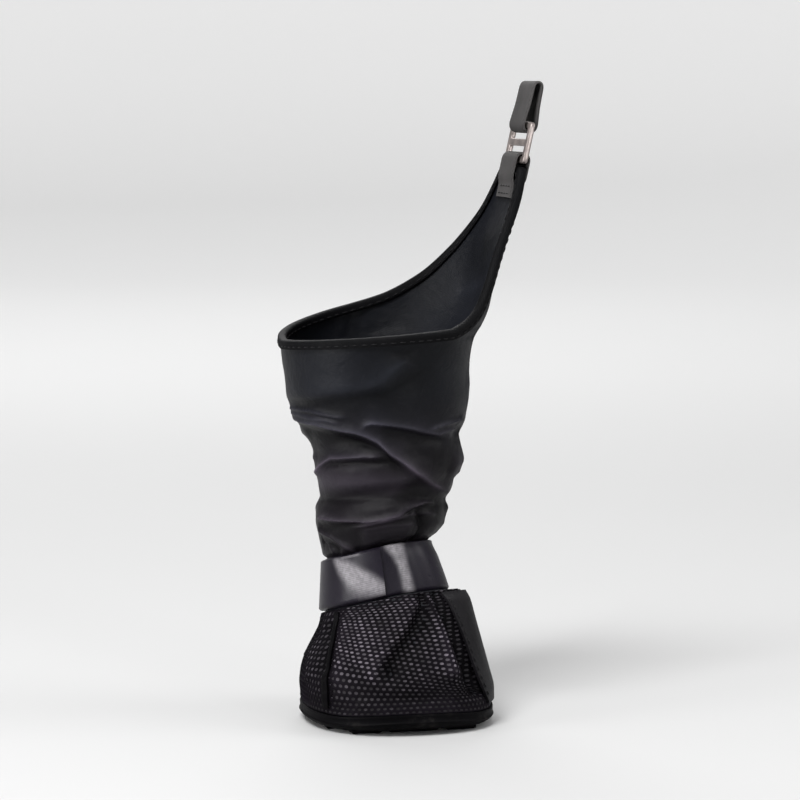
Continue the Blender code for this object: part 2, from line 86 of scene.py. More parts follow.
# Ankle, collar and flap
ANKLE_X, ANKLE_Y = -0.0031, 0.0115
ANKLE = np.array([ANKLE_X - 0.0154, ANKLE_X + 0.0154, ANKLE_Y - 0.0175, ANKLE_Y + 0.0175])
COLLAR = np.array([ANKLE_X - 0.02985, ANKLE_X + 0.02985, ANKLE_Y - 0.0320, ANKLE_Y + 0.0320])
COLLAR_HEIGHT = 0.1183
FLAP_RISE = 0.0470
FLAP_LEAN = 0.0147
STRAP_FOOT = 0.0334
STRAP_HEIGHT = 0.0165
STRAP_TOP = STRAP_FOOT + STRAP_HEIGHT
HEM = STRAP_FOOT + 0.37 * STRAP_HEIGHT

# Walls and clearance
UPPER_WALL = 0.0016
SHAFT_WALL = 0.0011
STRAP_WALL = 0.0011
PANEL_WALL = 0.0008
TAPE_WALL = 0.0006
INSOLE_WALL = 0.0020
BINDING_WALL = 0.0005
BINDING_DROP = 0.0021
GAP = 0.0003
FLOOR = LUG_HEIGHT + SOLE_THICKNESS
SEAT = FLOOR + GAP

# Webbing and slide
WEBBING_WIDTH = 0.0160
WEBBING_WALL = 0.0009
TAB_DROP = 0.0090
LOOP_RISE = 0.0125
BAR = 0.0022
SLOT = 0.0032
SLIDE_THICKNESS = 0.0016
SLIDE_SIDE = 0.0026
TAB_ANGLE = 3.0
LOOP_RADIUS = math.hypot(BAR, SLIDE_THICKNESS) / 2 + GAP + WEBBING_WALL / 2
LOWER_BAR_UP = GAP + BINDING_WALL + GAP + LOOP_RADIUS

# Radii at which leg, foot bag and strap are unrolled, and where the seams run
LEG_RADIUS = 0.0225
BAG_RADIUS = 0.026
STRAP_RADIUS = 0.0175
SEAM_ANGLE = 92.0
TAPE_ANGLES = (-153.6, -148.4)
FREE_END_ANGLES = (-104.0, -236.0)

# How far stitches lie off the cloth, and a step that tells which way is outwards
STITCH_OFF = 0.00004
OUT_STEP = 0.001

# The knitted mesh: its lowest edge, how far it goes under the strap, how many degrees are unrolled
# each way, the share of a row by which corners stand off so that cells get six sides, the range of
# the cells' tones, and the deepest fold, in millimetres, down to which painted shade still darkens
# them
MESH_FOOT = 0.0057
MESH_LAP = 0.0020
MESH_SWEEP = 125
CORNER_OFF = 0.11
CELL_TONES = (0.35, 1.50)
DARKEST_FOLD = -1.6

# Shares of the way from the ankle's edges to the foot's, up the foot bag, and the two slopes.
#   rise  inner  outer  front  back   side  fore
FOOT_ROWS = [
    (0.145, 0.975, 0.985, 0.985, 0.985, 0.00, 0.00),
    (0.256, 1.000, 0.940, 0.985, 1.000, 0.00, 0.00),
    (0.420, 0.950, 0.800, 0.915, 0.890, 0.03, 0.04),
    (0.620, 0.755, 0.655, 0.750, 0.660, 0.07, 0.08),
    (0.787, 0.510, 0.560, 0.530, 0.430, 0.11, 0.12),
    (0.904, 0.330, 0.510, 0.330, 0.290, 0.14, 0.16),
    (0.968, 0.250, 0.440, 0.160, 0.140, 0.16, 0.19),
    (0.985, 0.215, 0.425, 0.145, 0.110, 0.16, 0.20),
]
# Shares of the way from the ankle's edges to the collar's, under the strap and up the slack leg.
STRAP_ROWS = [
    (0.000, 0.000, 0.390, 0.107, 0.030, 0.17, 0.21),
    (0.300, -0.020, 0.280, 0.080, 0.020, 0.17, 0.20),
    (0.650, -0.042, 0.140, 0.040, 0.010, 0.18, 0.19),
    (1.000, -0.060, 0.000, 0.000, 0.000, 0.18, 0.18),
]
SHAFT_ROWS = [
    (0.032, 0.040, 0.230, 0.143, 0.133, 0.18, 0.18),
    (0.075, 0.118, 0.388, 0.214, 0.210, 0.17, 0.17),
    (0.133, 0.200, 0.394, 0.270, 0.170, 0.16, 0.16),
    (0.190, 0.242, 0.367, 0.325, 0.290, 0.14, 0.15),
    (0.235, 0.220, 0.520, 0.285, 0.300, 0.12, 0.13),
    (0.287, 0.135, 0.650, 0.186, 0.270, 0.10, 0.11),
    (0.345, 0.097, 0.720, 0.350, 0.430, 0.09, 0.09),
    (0.418, 0.220, 0.750, 0.445, 0.450, 0.08, 0.08),
    (0.477, 0.250, 0.710, 0.450, 0.360, 0.08, 0.06),
    (0.520, 0.330, 0.685, 0.420, 0.400, 0.07, 0.06),
    (0.586, 0.520, 0.817, 0.530, 0.560, 0.07, 0.05),
    (0.681, 0.690, 0.880, 0.680, 0.700, 0.07, 0.04),
    (0.776, 0.824, 0.865, 0.790, 0.790, 0.07, 0.03),
    (0.864, 0.907, 0.900, 0.886, 0.900, 0.07, 0.03),
    (0.952, 0.980, 0.990, 0.970, 0.980, 0.07, 0.03),
]
# Shares of the flap's rise and lean.
FLAP_ROWS = [(0.00, 0.14), (0.12, 0.32), (0.46, 0.51), (0.78, 0.84), (1.00, 1.00)]
# The top edge round the leg: angle, share of the flap's rise.
TOP_EDGE = np.array([
    (-180, 0.00), (-60, 0.00), (-50, 0.03), (-41, 0.10), (-34, 0.24), (-28, 0.42), (-23, 0.66),
    (-19, 0.90), (-15, 1.00), (21, 1.00), (27, 0.90), (35, 0.70), (45, 0.50), (60, 0.32),
    (80, 0.20), (115, 0.12), (180, 0.00)])
# Where the outer panel starts and ends, in degrees, up the foot bag.
PANEL_ROWS = np.array([
    (0.145, -37, 66), (0.256, -42, 68), (0.420, -47, 70), (0.620, -50, 72), (0.787, -54, 74),
    (0.904, -58, 75), (0.968, -61, 76)])
# How far the strap rides up round the leg: angle, millimetres.
LIFT = np.array([(-270, 0.0), (-240, 0.4), (-200, 2.1), (-170, 2.4), (-140, 2.1), (-120, 2.2),
                 (-96, 2.5), (-60, 1.6), (-20, 0.6), (30, 0.1), (90, 0.0)])
# A fold: height and crest radius, how far it reaches above and below its line (or to the right and
# left of a line that runs down), all in millimetres, and then the line's points, each an angle and
# a share of the height. On the slack leg the share runs from strap to collar.
LEG_FOLDS = [
    # front and inner side, as seen from the toe: first the broad swells and hollows
    (1.1, 1.2, 5.0, 2.0, -205, .75, -170, .756, -142, .766, -126, .781, -111, .791, -101, .807, -94,
     .863, -85, .95),
    (-0.9, 1.0, 2.0, 4.0, -190, .722, -150, .722, -125, .735, -100, .745, -84, .80, -66, .87),
    (-0.7, 1.2, 3.4, 3.4, -108, 1.02, -98, .96, -88, .885),
    (-0.7, 1.2, 3.4, 3.4, -70, 1.02, -79, .96, -88, .885),
    (1.2, 0.7, 1.8, 1.2, -215, .67, -174, .648, -154, .638, -138, .612, -123, .592, -116, .571,
     -108, .536, -104, .490, -94, .433, -84, .372, -69, .311, -48, .249, -18, .208),
    (-1.4, 0.7, 1.0, 3.2, -190, .60, -162, .585, -143, .562, -122, .526, -108, .478, -99, .403, -86,
     .33),
    (0.8, 1.0, 3.0, 1.2, -119, .580, -115, .615, -108, .628, -98, .612, -86, .590, -72, .560, -56,
     .535, -36, .51),
    (-0.7, 1.8, 2.6, 2.6, -92, .50, -76, .44, -58, .38, -40, .34),
    (-0.8, 0.6, 0.8, 2.4, -108, .592, -96, .578, -82, .550, -66, .515, -50, .49),
    (0.9, 0.7, 1.6, 2.0, -184, .37, -178, .40, -168, .438, -153, .474, -138, .474, -123, .474, -104,
     .462),
    (-1.0, 0.4, 0.8, 1.4, -172, .415, -159, .436, -131, .438, -103, .420, -92, .39),
    (1.6, 2.2, 3.6, 4.0, -200, .35, -170, .352, -146, .352, -121, .338, -98, .318, -80, .30),
    (-1.3, 0.6, 2.2, 1.8, -200, .272, -160, .268, -128, .262, -98, .240, -72, .232, -52, .20, -30,
     .17),
    (0.9, 0.5, 1.2, 1.6, -188, .228, -176, .212, -161, .200, -137, .176, -117, .155, -102, .152,
     -90, .160, -76, .190, -60, .200, -34, .175),
    (-0.7, 0.5, 1.0, 1.0, -180, .165, -156, .150, -132, .146, -116, .138),
    (-0.8, 0.4, 0.7, 0.9, -88, .146, -76, .166, -60, .170, -40, .15),
    (0.7, 1.4, 1.4, 2.6, -128, .075, -112, .078, -92, .070, -74, .060),
    (-1.5, 0.5, 1.2, 1.1, -72, .165, -69, .122, -66, .065, -66, -.02),
    (-0.8, 0.5, 1.0, 1.0, -180, .095, -160, .060, -148, .01),
    # then the sharp crests
    (0.9, 0.2, 0.55, 0.5, -199, .655, -174, .638, -154, .628, -138, .602, -123, .582, -116, .561,
     -108, .526, -104, .480, -94, .423, -84, .362, -69, .301, -52, .251, -38, .222),
    (0.8, 0.2, 0.6, 0.5, -196, .698, -180, .694, -159, .689, -146, .674, -134, .658, -124, .650),
    (0.6, 0.2, 0.5, 0.5, -196, .680, -172, .669, -155, .655, -143, .645, -130, .622),
    (0.8, 0.2, 0.6, 0.5, -119, .575, -117, .600, -115, .616, -111, .623, -100, .607, -88, .587, -74,
     .556, -54, .525),
    (0.7, 0.2, 0.6, 0.5, -72, .562, -58, .578, -44, .586, -28, .588),
    (0.5, 0.2, 0.5, 0.5, -62, .535, -50, .548, -36, .552),
    (0.8, 0.2, 0.6, 0.6, -182, .375, -177, .40, -168, .434, -153, .469, -138, .469, -123, .469,
     -104, .456),
    (0.8, 0.2, 0.6, 0.6, -186, .226, -176, .212, -161, .198, -137, .173, -117, .150, -102, .144,
     -90, .149, -76, .178, -62, .193, -44, .186),
    (0.8, 0.2, 0.6, 0.6, -136, .130, -115, .132, -95, .133, -77, .142, -60, .133, -44, .112),
    (0.4, 0.25, 0.5, 0.6, -124, .108, -98, .103, -72, .082),
    (0.8, 0.2, 0.6, 0.6, -186, .162, -178, .146, -158, .106, -146, .060, -128, -.01),
    (0.5, 0.2, 0.6, 0.6, -176, .10, -166, .07, -158, .02),
    (1.0, 1.0, 2.6, 1.0, -260, .02, -225, .02, -190, .015, -160, .015, -128, .01),
    (0.6, 1.0, 2.6, 1.0, -130, .02, -104, .035, -80, .03, -56, .03, -30, .03),
    # outer side
    (1.0, 1.5, 3.2, 2.6, -50, .36, -24, .385, 0, .40, 24, .37, 50, .32),
    (-1.1, 1.0, 2.2, 2.4, -40, .285, -8, .30, 16, .285, 44, .25, 70, .26),
    (0.5, 0.3, 1.0, 1.0, -34, .335, -12, .325, 10, .345, 30, .335),
    (0.9, 1.2, 2.0, 2.0, -30, .145, -6, .155, 20, .15, 46, .125),
    (-0.9, 0.7, 1.6, 1.6, -24, .08, 0, .075, 28, .07, 52, .055),
    (0.8, 1.4, 2.6, 2.0, -20, .55, 4, .535, 30, .49, 60, .45),
    (0.5, 0.25, 0.9, 0.9, -8, .57, 14, .545, 36, .50, 54, .475),
    (-0.9, 1.0, 2.6, 2.6, -24, .48, 8, .47, 34, .42),
    (0.6, 2.0, 4.0, 3.4, -30, .76, 0, .74, 26, .69, 48, .62),
    (0.5, 0.4, 1.2, 1.2, -4, .69, 18, .665, 40, .61, 58, .58),
    (0.6, 1.4, 4.0, 4.0, -14, 1.06, 6, 1.0, 30, .93, 56, .90),
    (0.6, 0.5, 2.0, 3.0, -10, 1.30, 4, 1.22, 22, 1.16, 38, 1.14),
    (-0.5, 1.4, 3.0, 3.0, -12, 1.44, 4, 1.38, 18, 1.36),
    # back
    (1.5, 0.9, 2.6, 1.8, 40, .42, 64, .455, 88, .46, 112, .43, 136, .40),
    (0.6, 0.25, 0.9, 0.9, 52, .44, 72, .462, 96, .458, 120, .425),
    (-1.3, 0.8, 2.0, 2.6, 50, .36, 76, .375, 100, .365, 128, .34, 150, .33),
    (1.3, 0.9, 2.2, 2.0, 44, .26, 70, .295, 96, .30, 122, .27, 150, .25, 170, .27),
    (0.6, 0.25, 0.9, 0.9, 60, .284, 84, .302, 108, .288, 134, .260),
    (-1.1, 0.7, 1.8, 1.8, 56, .20, 82, .215, 108, .20, 136, .185, 160, .20),
    (1.2, 0.8, 2.0, 1.8, 40, .12, 66, .145, 92, .14, 120, .12, 150, .135),
    (-0.9, 0.7, 1.5, 1.5, 60, .065, 90, .075, 120, .06, 152, .065),
    (1.1, 0.8, 2.6, 1.6, 70, .58, 94, .555, 120, .535, 146, .55, 168, .60),
    (0.7, 0.25, 0.9, 0.8, 82, .566, 104, .546, 126, .537, 150, .556),
    (0.9, 0.5, 1.6, 1.4, 90, .50, 114, .515, 140, .50, 164, .47, 184, .46),
    (0.9, 1.4, 4.0, 3.0, 60, .72, 90, .685, 124, .68, 152, .70, 176, .73),
    (0.5, 0.3, 1.2, 1.0, 96, .688, 116, .680, 138, .690, 156, .706),
    (-0.6, 1.2, 3.0, 3.0, 80, .80, 110, .785, 140, .79, 165, .82),
    (0.7, 1.6, 4.0, 4.0, 70, .90, 100, .865, 134, .87, 168, .90),
]
BAG_FOLDS = [
    (-4.0, 0.7, 2.0, 2.4, -72, 1.0, -66, .92, -60, .80, -56, .68, -54, .55, -50, .42, -47, .29, -44,
     .16),
    (2.2, 1.4, 3.0, 2.2, -72, 1.0, -70, .88, -69, .76, -68, .63, -67, .51, -66, .34),
    (-3.8, 0.5, 1.6, 2.4, -74, 1.02, -76, .92, -83, .83, -92, .71, -99, .61, -105, .49, -109, .35),
    (-1.5, 0.3, 0.8, 0.8, -75, .96, -77, .88, -79, .81, -86, .72, -92, .65),
    (2.0, 0.6, 1.3, 2.8, -80, 1.02, -84, .93, -93, .81, -101, .70, -109, .59, -115, .46, -118, .34),
    (0.8, 0.3, 0.8, 0.8, -88, .80, -96, .68, -102, .57, -106, .46),
    (-1.9, 0.8, 2.0, 2.4, -167, .90, -163, .80, -159, .68, -157, .56, -156, .42),
    (0.8, 2.0, 4.0, 4.0, -186, .70, -178, .52, -172, .34),
    (0.9, 1.2, 2.2, 2.2, -147, .96, -143, .75, -142, .5, -142, .3),
    (0.8, 1.6, 3.0, 3.0, -130, .92, -128, .72, -128, .5),
    (-0.8, 1.0, 2.0, 2.4, -134, .30, -110, .27, -90, .25, -66, .24),
    (-0.6, 0.6, 1.2, 1.2, -120, .20, -98, .19, -76, .20),
    (1.0, 1.2, 2.6, 2.6, 96, .90, 102, .70, 108, .45),
    (-1.4, 0.8, 2.0, 2.0, 116, .95, 122, .78, 130, .60, 134, .42),
    (1.1, 1.2, 2.6, 2.6, 136, .92, 144, .70, 150, .46),
    (-1.1, 0.8, 2.0, 2.0, 164, .94, 168, .78, 170, .60),
    (-0.8, 0.8, 2.0, 2.0, 84, .90, 84, .72, 86, .5),
]
STRAP_FOLDS = [
    (-0.4, 1.6, 3.0, 3.0, -156, 1.3, -146, .9, -134, .5, -126, .1, -122, -.3),
    (0.5, 0.8, 2.2, 3.4, -110, 1.3, -108, .9, -106, .5, -105, .1, -104, -.3),
    (0.4, 1.2, 2.0, 2.0, -92, 1.3, -89, .8, -87, .3, -86, -.3),
    (-0.3, 1.2, 2.0, 2.0, -74, 1.3, -70, .8, -66, .3, -62, -.3),
]
# Painted highlights on the strap's glossy face: angle, upper and lower edge as shares of its
# height, for the wide patch on the free end; then share, left and right angle, for the narrow
# streak on the band.
PATCH_ROWS = np.array([(-160, 1.04, .90), (-150, .98, .54), (-138, .90, .20), (-127, .72, .0),
                       (-112, .46, -.10), (-101, .20, -.15)])
STREAK_ROWS = np.array([(0.0, -87.5, -77), (.30, -88.5, -78), (.53, -90, -79), (.75, -94, -78),
                        (1.0, -100, -77)])
# The dish from its middle underneath to its middle inside: inset and height.
DISH_ROWS = [
    (0.0265, LUG_HEIGHT), (0.0200, LUG_HEIGHT), (0.0120, LUG_HEIGHT), (0.0060, LUG_HEIGHT),
    (0.0030, LUG_HEIGHT), (0.0022, LUG_HEIGHT + 0.0001), (0.0013, LUG_HEIGHT + 0.0005),
    (0.0006, LUG_HEIGHT + 0.0010), (0.0002, LUG_HEIGHT + 0.0014), (0.0000, LUG_HEIGHT + 0.0018),
    (0.0000, STEP_HEIGHT - 0.00035), (0.00008, STEP_HEIGHT - 0.00012), (0.00022, STEP_HEIGHT),
    (0.0003, STEP_HEIGHT + 0.0002), (0.0003, LIP_HEIGHT - 0.0009), (0.00022, LIP_HEIGHT - 0.0007),
    (0.0002, LIP_HEIGHT - 0.0004), (0.00028, LIP_HEIGHT - 0.0001), (0.0005, LIP_HEIGHT),
    (STEP_DEPTH + 0.8 * LIP_WALL, LIP_HEIGHT), (STEP_DEPTH + LIP_WALL, LIP_HEIGHT - 0.0002),
    (STEP_DEPTH + LIP_WALL, FLOOR), (0.0120, FLOOR), (0.0265, FLOOR)]
ARCHED_ROWS = 7
# Half of the insole's section, from the middle of a face to the edge: inset and distance inwards.
INSOLE_ROWS = [(0.0235, 0.0), (0.012, 0.0), (0.004, 0.0), (0.0006, 0.0), (0.0001, 0.0003)]
# The lugs: share of the way from the origin to the heel, and whether three stand side by side.
LUG_ROWS = [(-0.62, True), (-0.31, True), (0.0, True), (0.52, True), (0.80, False)]
# A fold fades in and out over a share of its line, and a crest under a radius in millimetres is
# sharp, which makes its painted highlight stronger by a factor.
FOLD_FADE = 0.15
SHARP_CREST, SHARP_PAINTED_LIGHT = 0.3, 2.2
# Colours of the lint on cloth and of the dust on rubber
LINT = (0.30, 0.29, 0.28)
SOLE_DUST = (0.24, 0.22, 0.20)
# Shader node groups and materials, once they are made
GROUPS = {}
MATERIALS = {}


def length_value(name, description, default, precision=4):
    """A size that a user may change, in metres."""
    return FloatProperty(name=name, description=description, default=default, min=0.0001, max=0.01,
                         unit="LENGTH", precision=precision)


def share_value(name, description, default, highest=1.0):
    return FloatProperty(name=name, description=description, default=default, min=0.0, max=highest,
                         subtype="FACTOR")


def power_value(name, description, default):
    return FloatProperty(name=name, description=description, default=default, min=0.0, unit="POWER")


def place_value(name, description, default):
    return FloatVectorProperty(name=name, description=description, default=default, size=3,
                               subtype="TRANSLATION", unit="LENGTH")


def colour_value(name, description, default):
    return FloatVectorProperty(name=name, description=description, default=default, size=3,
                               subtype="COLOR", min=0.0, max=1.0)


class LegSizes(PropertyGroup):
    fold_scale: share_value("Fold Scale", "Scale of the folds' height, 1 as measured", 1.0, 2.0)
    fold_sag: share_value("Fold Sag", "How far a fold sinks for its height", 0.20)
    seam_width: length_value("Seam Width", "Width of the felled seam up the leg's back", 0.0042)
    stitch_length: length_value("Stitch Length", "Length of one stitch", 0.0021)
    stitch_pitch: length_value(
        "Stitch Pitch", "From the start of one stitch to the start of the next", 0.0029)
    stitch_radius: length_value("Stitch Radius", "Half the sewing thread's thickness", 0.00021, 5)


class FootSizes(PropertyGroup):
    cell_width: length_value("Cell Width", "Pitch of the mesh cells round the foot", 0.0020)
    cell_height: length_value("Cell Height", "Pitch of the mesh rows up the foot", 0.00142, 5)
    thread_width: length_value(
        "Thread Width", "Width of the knitted threads between two cells", 0.00090, 5)
    thread_height: length_value(
        "Thread Height", "How far the threads stand above the cells' floor", 0.00038, 5)
    tread_pitch: length_value("Tread Pitch", "Pitch of the fine ribs on the lugs", 0.0011)


class BootColours(PropertyGroup):
    nylon: colour_value("Leg Nylon", "Cloth of the slack leg", (0.0064, 0.0070, 0.0094))
    nylon_low: colour_value(
        "Lower Leg Nylon", "The same cloth near the strap", (0.0080, 0.0067, 0.0088))
    mesh_thread: colour_value(
        "Mesh Thread", "Knitted threads of the foot bag", (0.0038, 0.0030, 0.0044))
    mesh_cell: colour_value("Mesh Cell", "Lining seen in the mesh's cells", (0.072, 0.064, 0.075))
    panel: colour_value(
        "Panel", "Smooth cloth of side panel and seam tape", (0.0072, 0.0064, 0.0080))
    strap: colour_value("Strap", "Glossy face of the ankle strap", (0.0134, 0.0110, 0.0180))
    # Colour of the painted highlights on the strap's glossy face
    strap_highlight: colour_value("Strap Highlight", "Where that face is worn light", (0.31, 0.295, 0.315))
    binding: colour_value("Binding", "Tape folded over the top edge", (0.0026, 0.0026, 0.0033))
    webbing: colour_value("Webbing", "Grey webbing of tab and loop", (0.052, 0.049, 0.049))
    slide: colour_value("Slide", "Plated slide of the adjuster", (0.47, 0.41, 0.39))
    rubber: colour_value("Rubber", "Sole dish", (0.0024, 0.0022, 0.0028))
    foam: colour_value("Foam", "Insole", (0.042, 0.042, 0.045))
    thread: colour_value("Sewing Thread", "Stitches", (0.0062, 0.0060, 0.0070))
    paper: colour_value("Floor", "Studio floor and backdrop", (0.86, 0.86, 0.86))


class StudioSizes(PropertyGroup):
    lens: FloatProperty(
        name="Lens", description="Focal length on a 36 mm sensor",
        default=155.0, min=20.0, max=400.0, subtype="DISTANCE_CAMERA", unit="CAMERA")
    camera_place: place_value("Camera Place", "Where the camera stands", (-0.254, -1.0188, 0.199))
    camera_aim: place_value("Camera Aim", "Point that the camera looks at", (0.004, 0.010, 0.0975))
    key_power: power_value("Key Power", "Large soft light high at the inner front", 19.0)
    fill_power: power_value(
        "Fill Power", "Soft light at the outer side; the rear light has 2.2 times as much", 5.0)
    strip_power: power_value(
        "Strip Power", "Strip light at the inner side; the front strip has 0.4 times as much", 4.5)
    bounce: share_value(
        "Bounce", "Share of its light that the floor throws back on the boot", 0.42)
    paper_tone: share_value("Paper Tone", "Share of the floor's colour that the camera sees", 0.72)
    backdrop_glow: share_value(
        "Backdrop Glow", "Light that the backdrop adds in the camera's view", 0.50)
    world_strength: FloatProperty(
        name="World Strength", description="Even light from all round", default=0.62, min=0.0)


def mix(start, end, share):
    return start + (end - start) * share


def smooth_step(share):
    share = np.clip(share, 0.0, 1.0)
    return share * share * (3 - 2 * share)


def run_along(points):
    """Distance along a line of points, from 0 at its first one."""
    return np.concatenate([[0.0], np.cumsum(np.linalg.norm(np.diff(points, axis=0), axis=1))])


def smooth_through(table, at):
    """Rows of a table at any places, on a curve through its stations that never overshoots them.
    The table's first column holds the stations."""
    stations, values = table[:, 0], table[:, 1:]
    gaps = np.diff(stations)
    rises = np.diff(values, axis=0) / gaps[:, None]
    slopes = np.zeros_like(values)
    same = rises[1:] * rises[:-1] > 0
    total = np.where(same, rises[1:] + rises[:-1], 1.0)
    slopes[1:-1] = np.where(same, 2 * rises[1:] * rises[:-1] / total, 0.0)
    slopes[0], slopes[-1] = rises[0], rises[-1]
    index = np.clip(np.searchsorted(stations, at, side="right") - 1, 0, len(stations) - 2)
    width = gaps[index][:, None]
    share = (at - stations[index])[:, None] / width
    return (values[index] * (1 + 2 * share) * (1 - share) ** 2
            + values[index + 1] * (3 - 2 * share) * share ** 2
            + slopes[index] * width * share * (1 - share) ** 2
            - slopes[index + 1] * width * (1 - share) * share ** 2)


def straight_through(table, at):
    """Columns of a table at any places, on straight lines between its stations."""
    return [np.interp(at, table[:, 0], column) for column in table[:, 1:].T]


def section_row(height, near, far, row, square):
    """A section between two others: its height, its edges, two slopes and its squareness."""
    return [height, *mix(near, far, np.array(row[:4])), *row[4:], square]


def leg_table():
    """The leg's outer face: each section's height, four edges, two slopes and squareness."""
    rows = [section_row(mix(low, high, share), ANKLE, COLLAR, row, LEG_SQUARE)
            for low, high, part in ((STRAP_FOOT, STRAP_TOP, STRAP_ROWS),
                                    (STRAP_TOP, COLLAR_HEIGHT, SHAFT_ROWS))
            for share, *row in part]
    for rise, lean in FLAP_ROWS:
        far = COLLAR + np.array([0.0, lean * FLAP_LEAN, 0.0, 0.0])
        rows.append([COLLAR_HEIGHT + rise * FLAP_RISE, *far, *SHAFT_ROWS[-1][5:], LEG_SQUARE])
    return np.array(rows)


LEG = leg_table()


def bag_table():
    """The foot bag's outer face, from its seat in the dish to its collar under the leg's hem."""
    seat = FOOT + INWARDS * (STEP_DEPTH + LIP_WALL + GAP)
    rows = [[height, *edges, 0.0, 0.0, FOOT_SQUARE] for height, edges in (
        (SEAT, seat), (LIP_HEIGHT - 0.0004, seat), (LIP_HEIGHT + 0.0001, FOOT + 0.0009 * INWARDS),
        (LIP_HEIGHT + 0.0006, FOOT + 0.0002 * INWARDS))]
    rows += [section_row(mix(SEAT, STRAP_FOOT, share), LEG[0, 1:5], FOOT, row,
                         mix(FOOT_SQUARE, LEG_SQUARE, share)) for share, *row in FOOT_ROWS]
    rows.append([STRAP_FOOT - GAP, *LEG[0, 1:]])
    for share, tuck in ((0.26, 0.0), (0.33, 1.0), (0.52, 1.0), (0.74, 1.0)):
        height = STRAP_FOOT + share * STRAP_HEIGHT
        row = smooth_through(LEG, np.array([height]))[0]
        row[:4] += INWARDS * tuck * (SHAFT_WALL + GAP)
        rows.append([height, *row])
    return np.array(rows)


BAG = bag_table()


def ring_points(sections, angle, grow):
    """Points at angles of sections that are grown outwards by a distance."""
    height, inner, outer, front, back, side, fore, square = sections.T
    across, along = np.cos(np.radians(angle)), np.sin(np.radians(angle))
    power = 2 / square
    middle_y = mix(front, back, WIDEST)
    reach_x = (outer - inner) / 2 + grow
    reach_y = np.where(along > 0, back - middle_y, middle_y - front) + grow
    x = (inner + outer) / 2 + reach_x * np.sign(across) * np.abs(across) ** power
    y = middle_y + reach_y * np.sign(along) * np.abs(along) ** power
    return np.stack([x, y, height + side * (x - ANKLE_X) - fore * (y - ANKLE_Y)], axis=1)


def even(*values):
    return (np.atleast_1d(a).astype(float) for a in np.broadcast_arrays(*values))


def lift(height, angle):
    """How far strap, hem and bag ride up at the front, above the sections' own planes."""
    turn = (angle + 270.0) % 360.0 - 270.0
    near = np.exp(-((height - STRAP_FOOT - STRAP_HEIGHT / 2) / 0.015) ** 2)
    return near * smooth_through(LIFT, turn)[:, 0] / 1000


def leg_points(height, angle, grow=0.0):
    """Points of the leg's cloth. Above the collar its outer side flattens towards the tip."""
    height, angle, grow = even(height, angle, grow)
    rows = smooth_through(LEG, height)
    points = ring_points(np.column_stack([height, rows]), angle, grow)
    facing = np.maximum(0.0, np.cos(np.radians(angle))) ** 2
    flat = smooth_step((height - COLLAR_HEIGHT) / FLAP_RISE) * facing
    shift = flat * (rows[:, 1] + grow - points[:, 0])
    points[:, 0] += shift
    points[:, 2] += rows[:, 4] * shift + lift(height, angle)
    return points


def toe_spring(y):
    start = FOOT[2] * SPRING_START
    return TOE_SPRING * np.maximum(0.0, (y - start) / (FOOT[2] - start)) ** 2


def arch(y):
    share = np.minimum(np.abs(y / FOOT[3] - ARCH_MIDDLE) / ARCH_HALF, 1.0)
    return ARCH_RISE * np.cos(share * math.pi / 2) ** 2


def bag_points(height, angle, grow=0.0):
    """Points of the foot bag."""
    height, angle, grow = even(height, angle, grow)
    points = ring_points(np.column_stack([height, smooth_through(BAG, height)]), angle, grow)
    fade = 1 - np.clip((height - SEAT) / (STRAP_FOOT - SEAT), 0.0, 1.0)
    points[:, 2] += toe_spring(points[:, 1]) * fade + lift(height, angle)
    return points


def sole_points(height, inset, angle):
    """Points of the dish, an outline of the foot moved in by a distance."""
    height, angle, inset, none = even(height, angle, inset, 0.0)
    table = np.column_stack([height, FOOT + INWARDS * inset[:, None], none, none,
                             none + FOOT_SQUARE])
    points = ring_points(table, angle, none)
    points[:, 2] += toe_spring(points[:, 1])
    return points


def top_height(angle):
    """Height of the top edge at angles, before the section's slope."""
    turn = (np.atleast_1d(angle) + 180.0) % 360.0 - 180.0
    return COLLAR_HEIGHT + FLAP_RISE * smooth_through(TOP_EDGE, turn)[:, 0]


def relief(folds, angle, share, radius, span):
    """Height of the folds at angles and shares, on a sheet unrolled at a radius and a span, and the
    painted light and shade that follows them, a painted highlight on crests and painted shade in
    hollows, in which sharp crests weigh more."""
    total, painted = np.zeros_like(angle), np.zeros_like(angle)
    for height, crest, above, below, *line in folds:
        line = np.reshape(line, (-1, 2))
        middle = line[:, 0].mean()
        turn = (angle - middle + 180) % 360 - 180 + middle
        here = np.stack([np.radians(turn) * radius, share * span], axis=1) * 1000
        track = np.stack([np.radians(line[:, 0]) * radius, line[:, 1] * span], axis=1) * 1000
        starts = run_along(track)
        near, reach, run = np.full(len(angle), 1e9), np.ones(len(angle)), np.zeros(len(angle))
        for start, end, before, after in zip(track, track[1:], starts, starts[1:]):
            away, step, length = here - start, end - start, after - before
            along = np.clip(away @ step / length ** 2, 0.0, 1.0)
            off = away - along[:, None] * step
            distance = np.hypot(*off.T)
            closer = distance < near
            left = step[0] * off[:, 1] - step[1] * off[:, 0] > 0
            near = np.where(closer, distance, near)
            reach = np.where(closer, np.where(left, above, below), reach)
            run = np.where(closer, (before + along * length) / starts[-1], run)
        fade = smooth_step(run / FOLD_FADE) * smooth_step((1 - run) / FOLD_FADE)
        profile = np.exp(-(np.sqrt(near ** 2 + crest ** 2) - crest) / reach)
        total += height / 1000 * profile * fade
        painted += height * profile * fade * (SHARP_PAINTED_LIGHT if crest < SHARP_CREST else 1.0)
    return total, painted


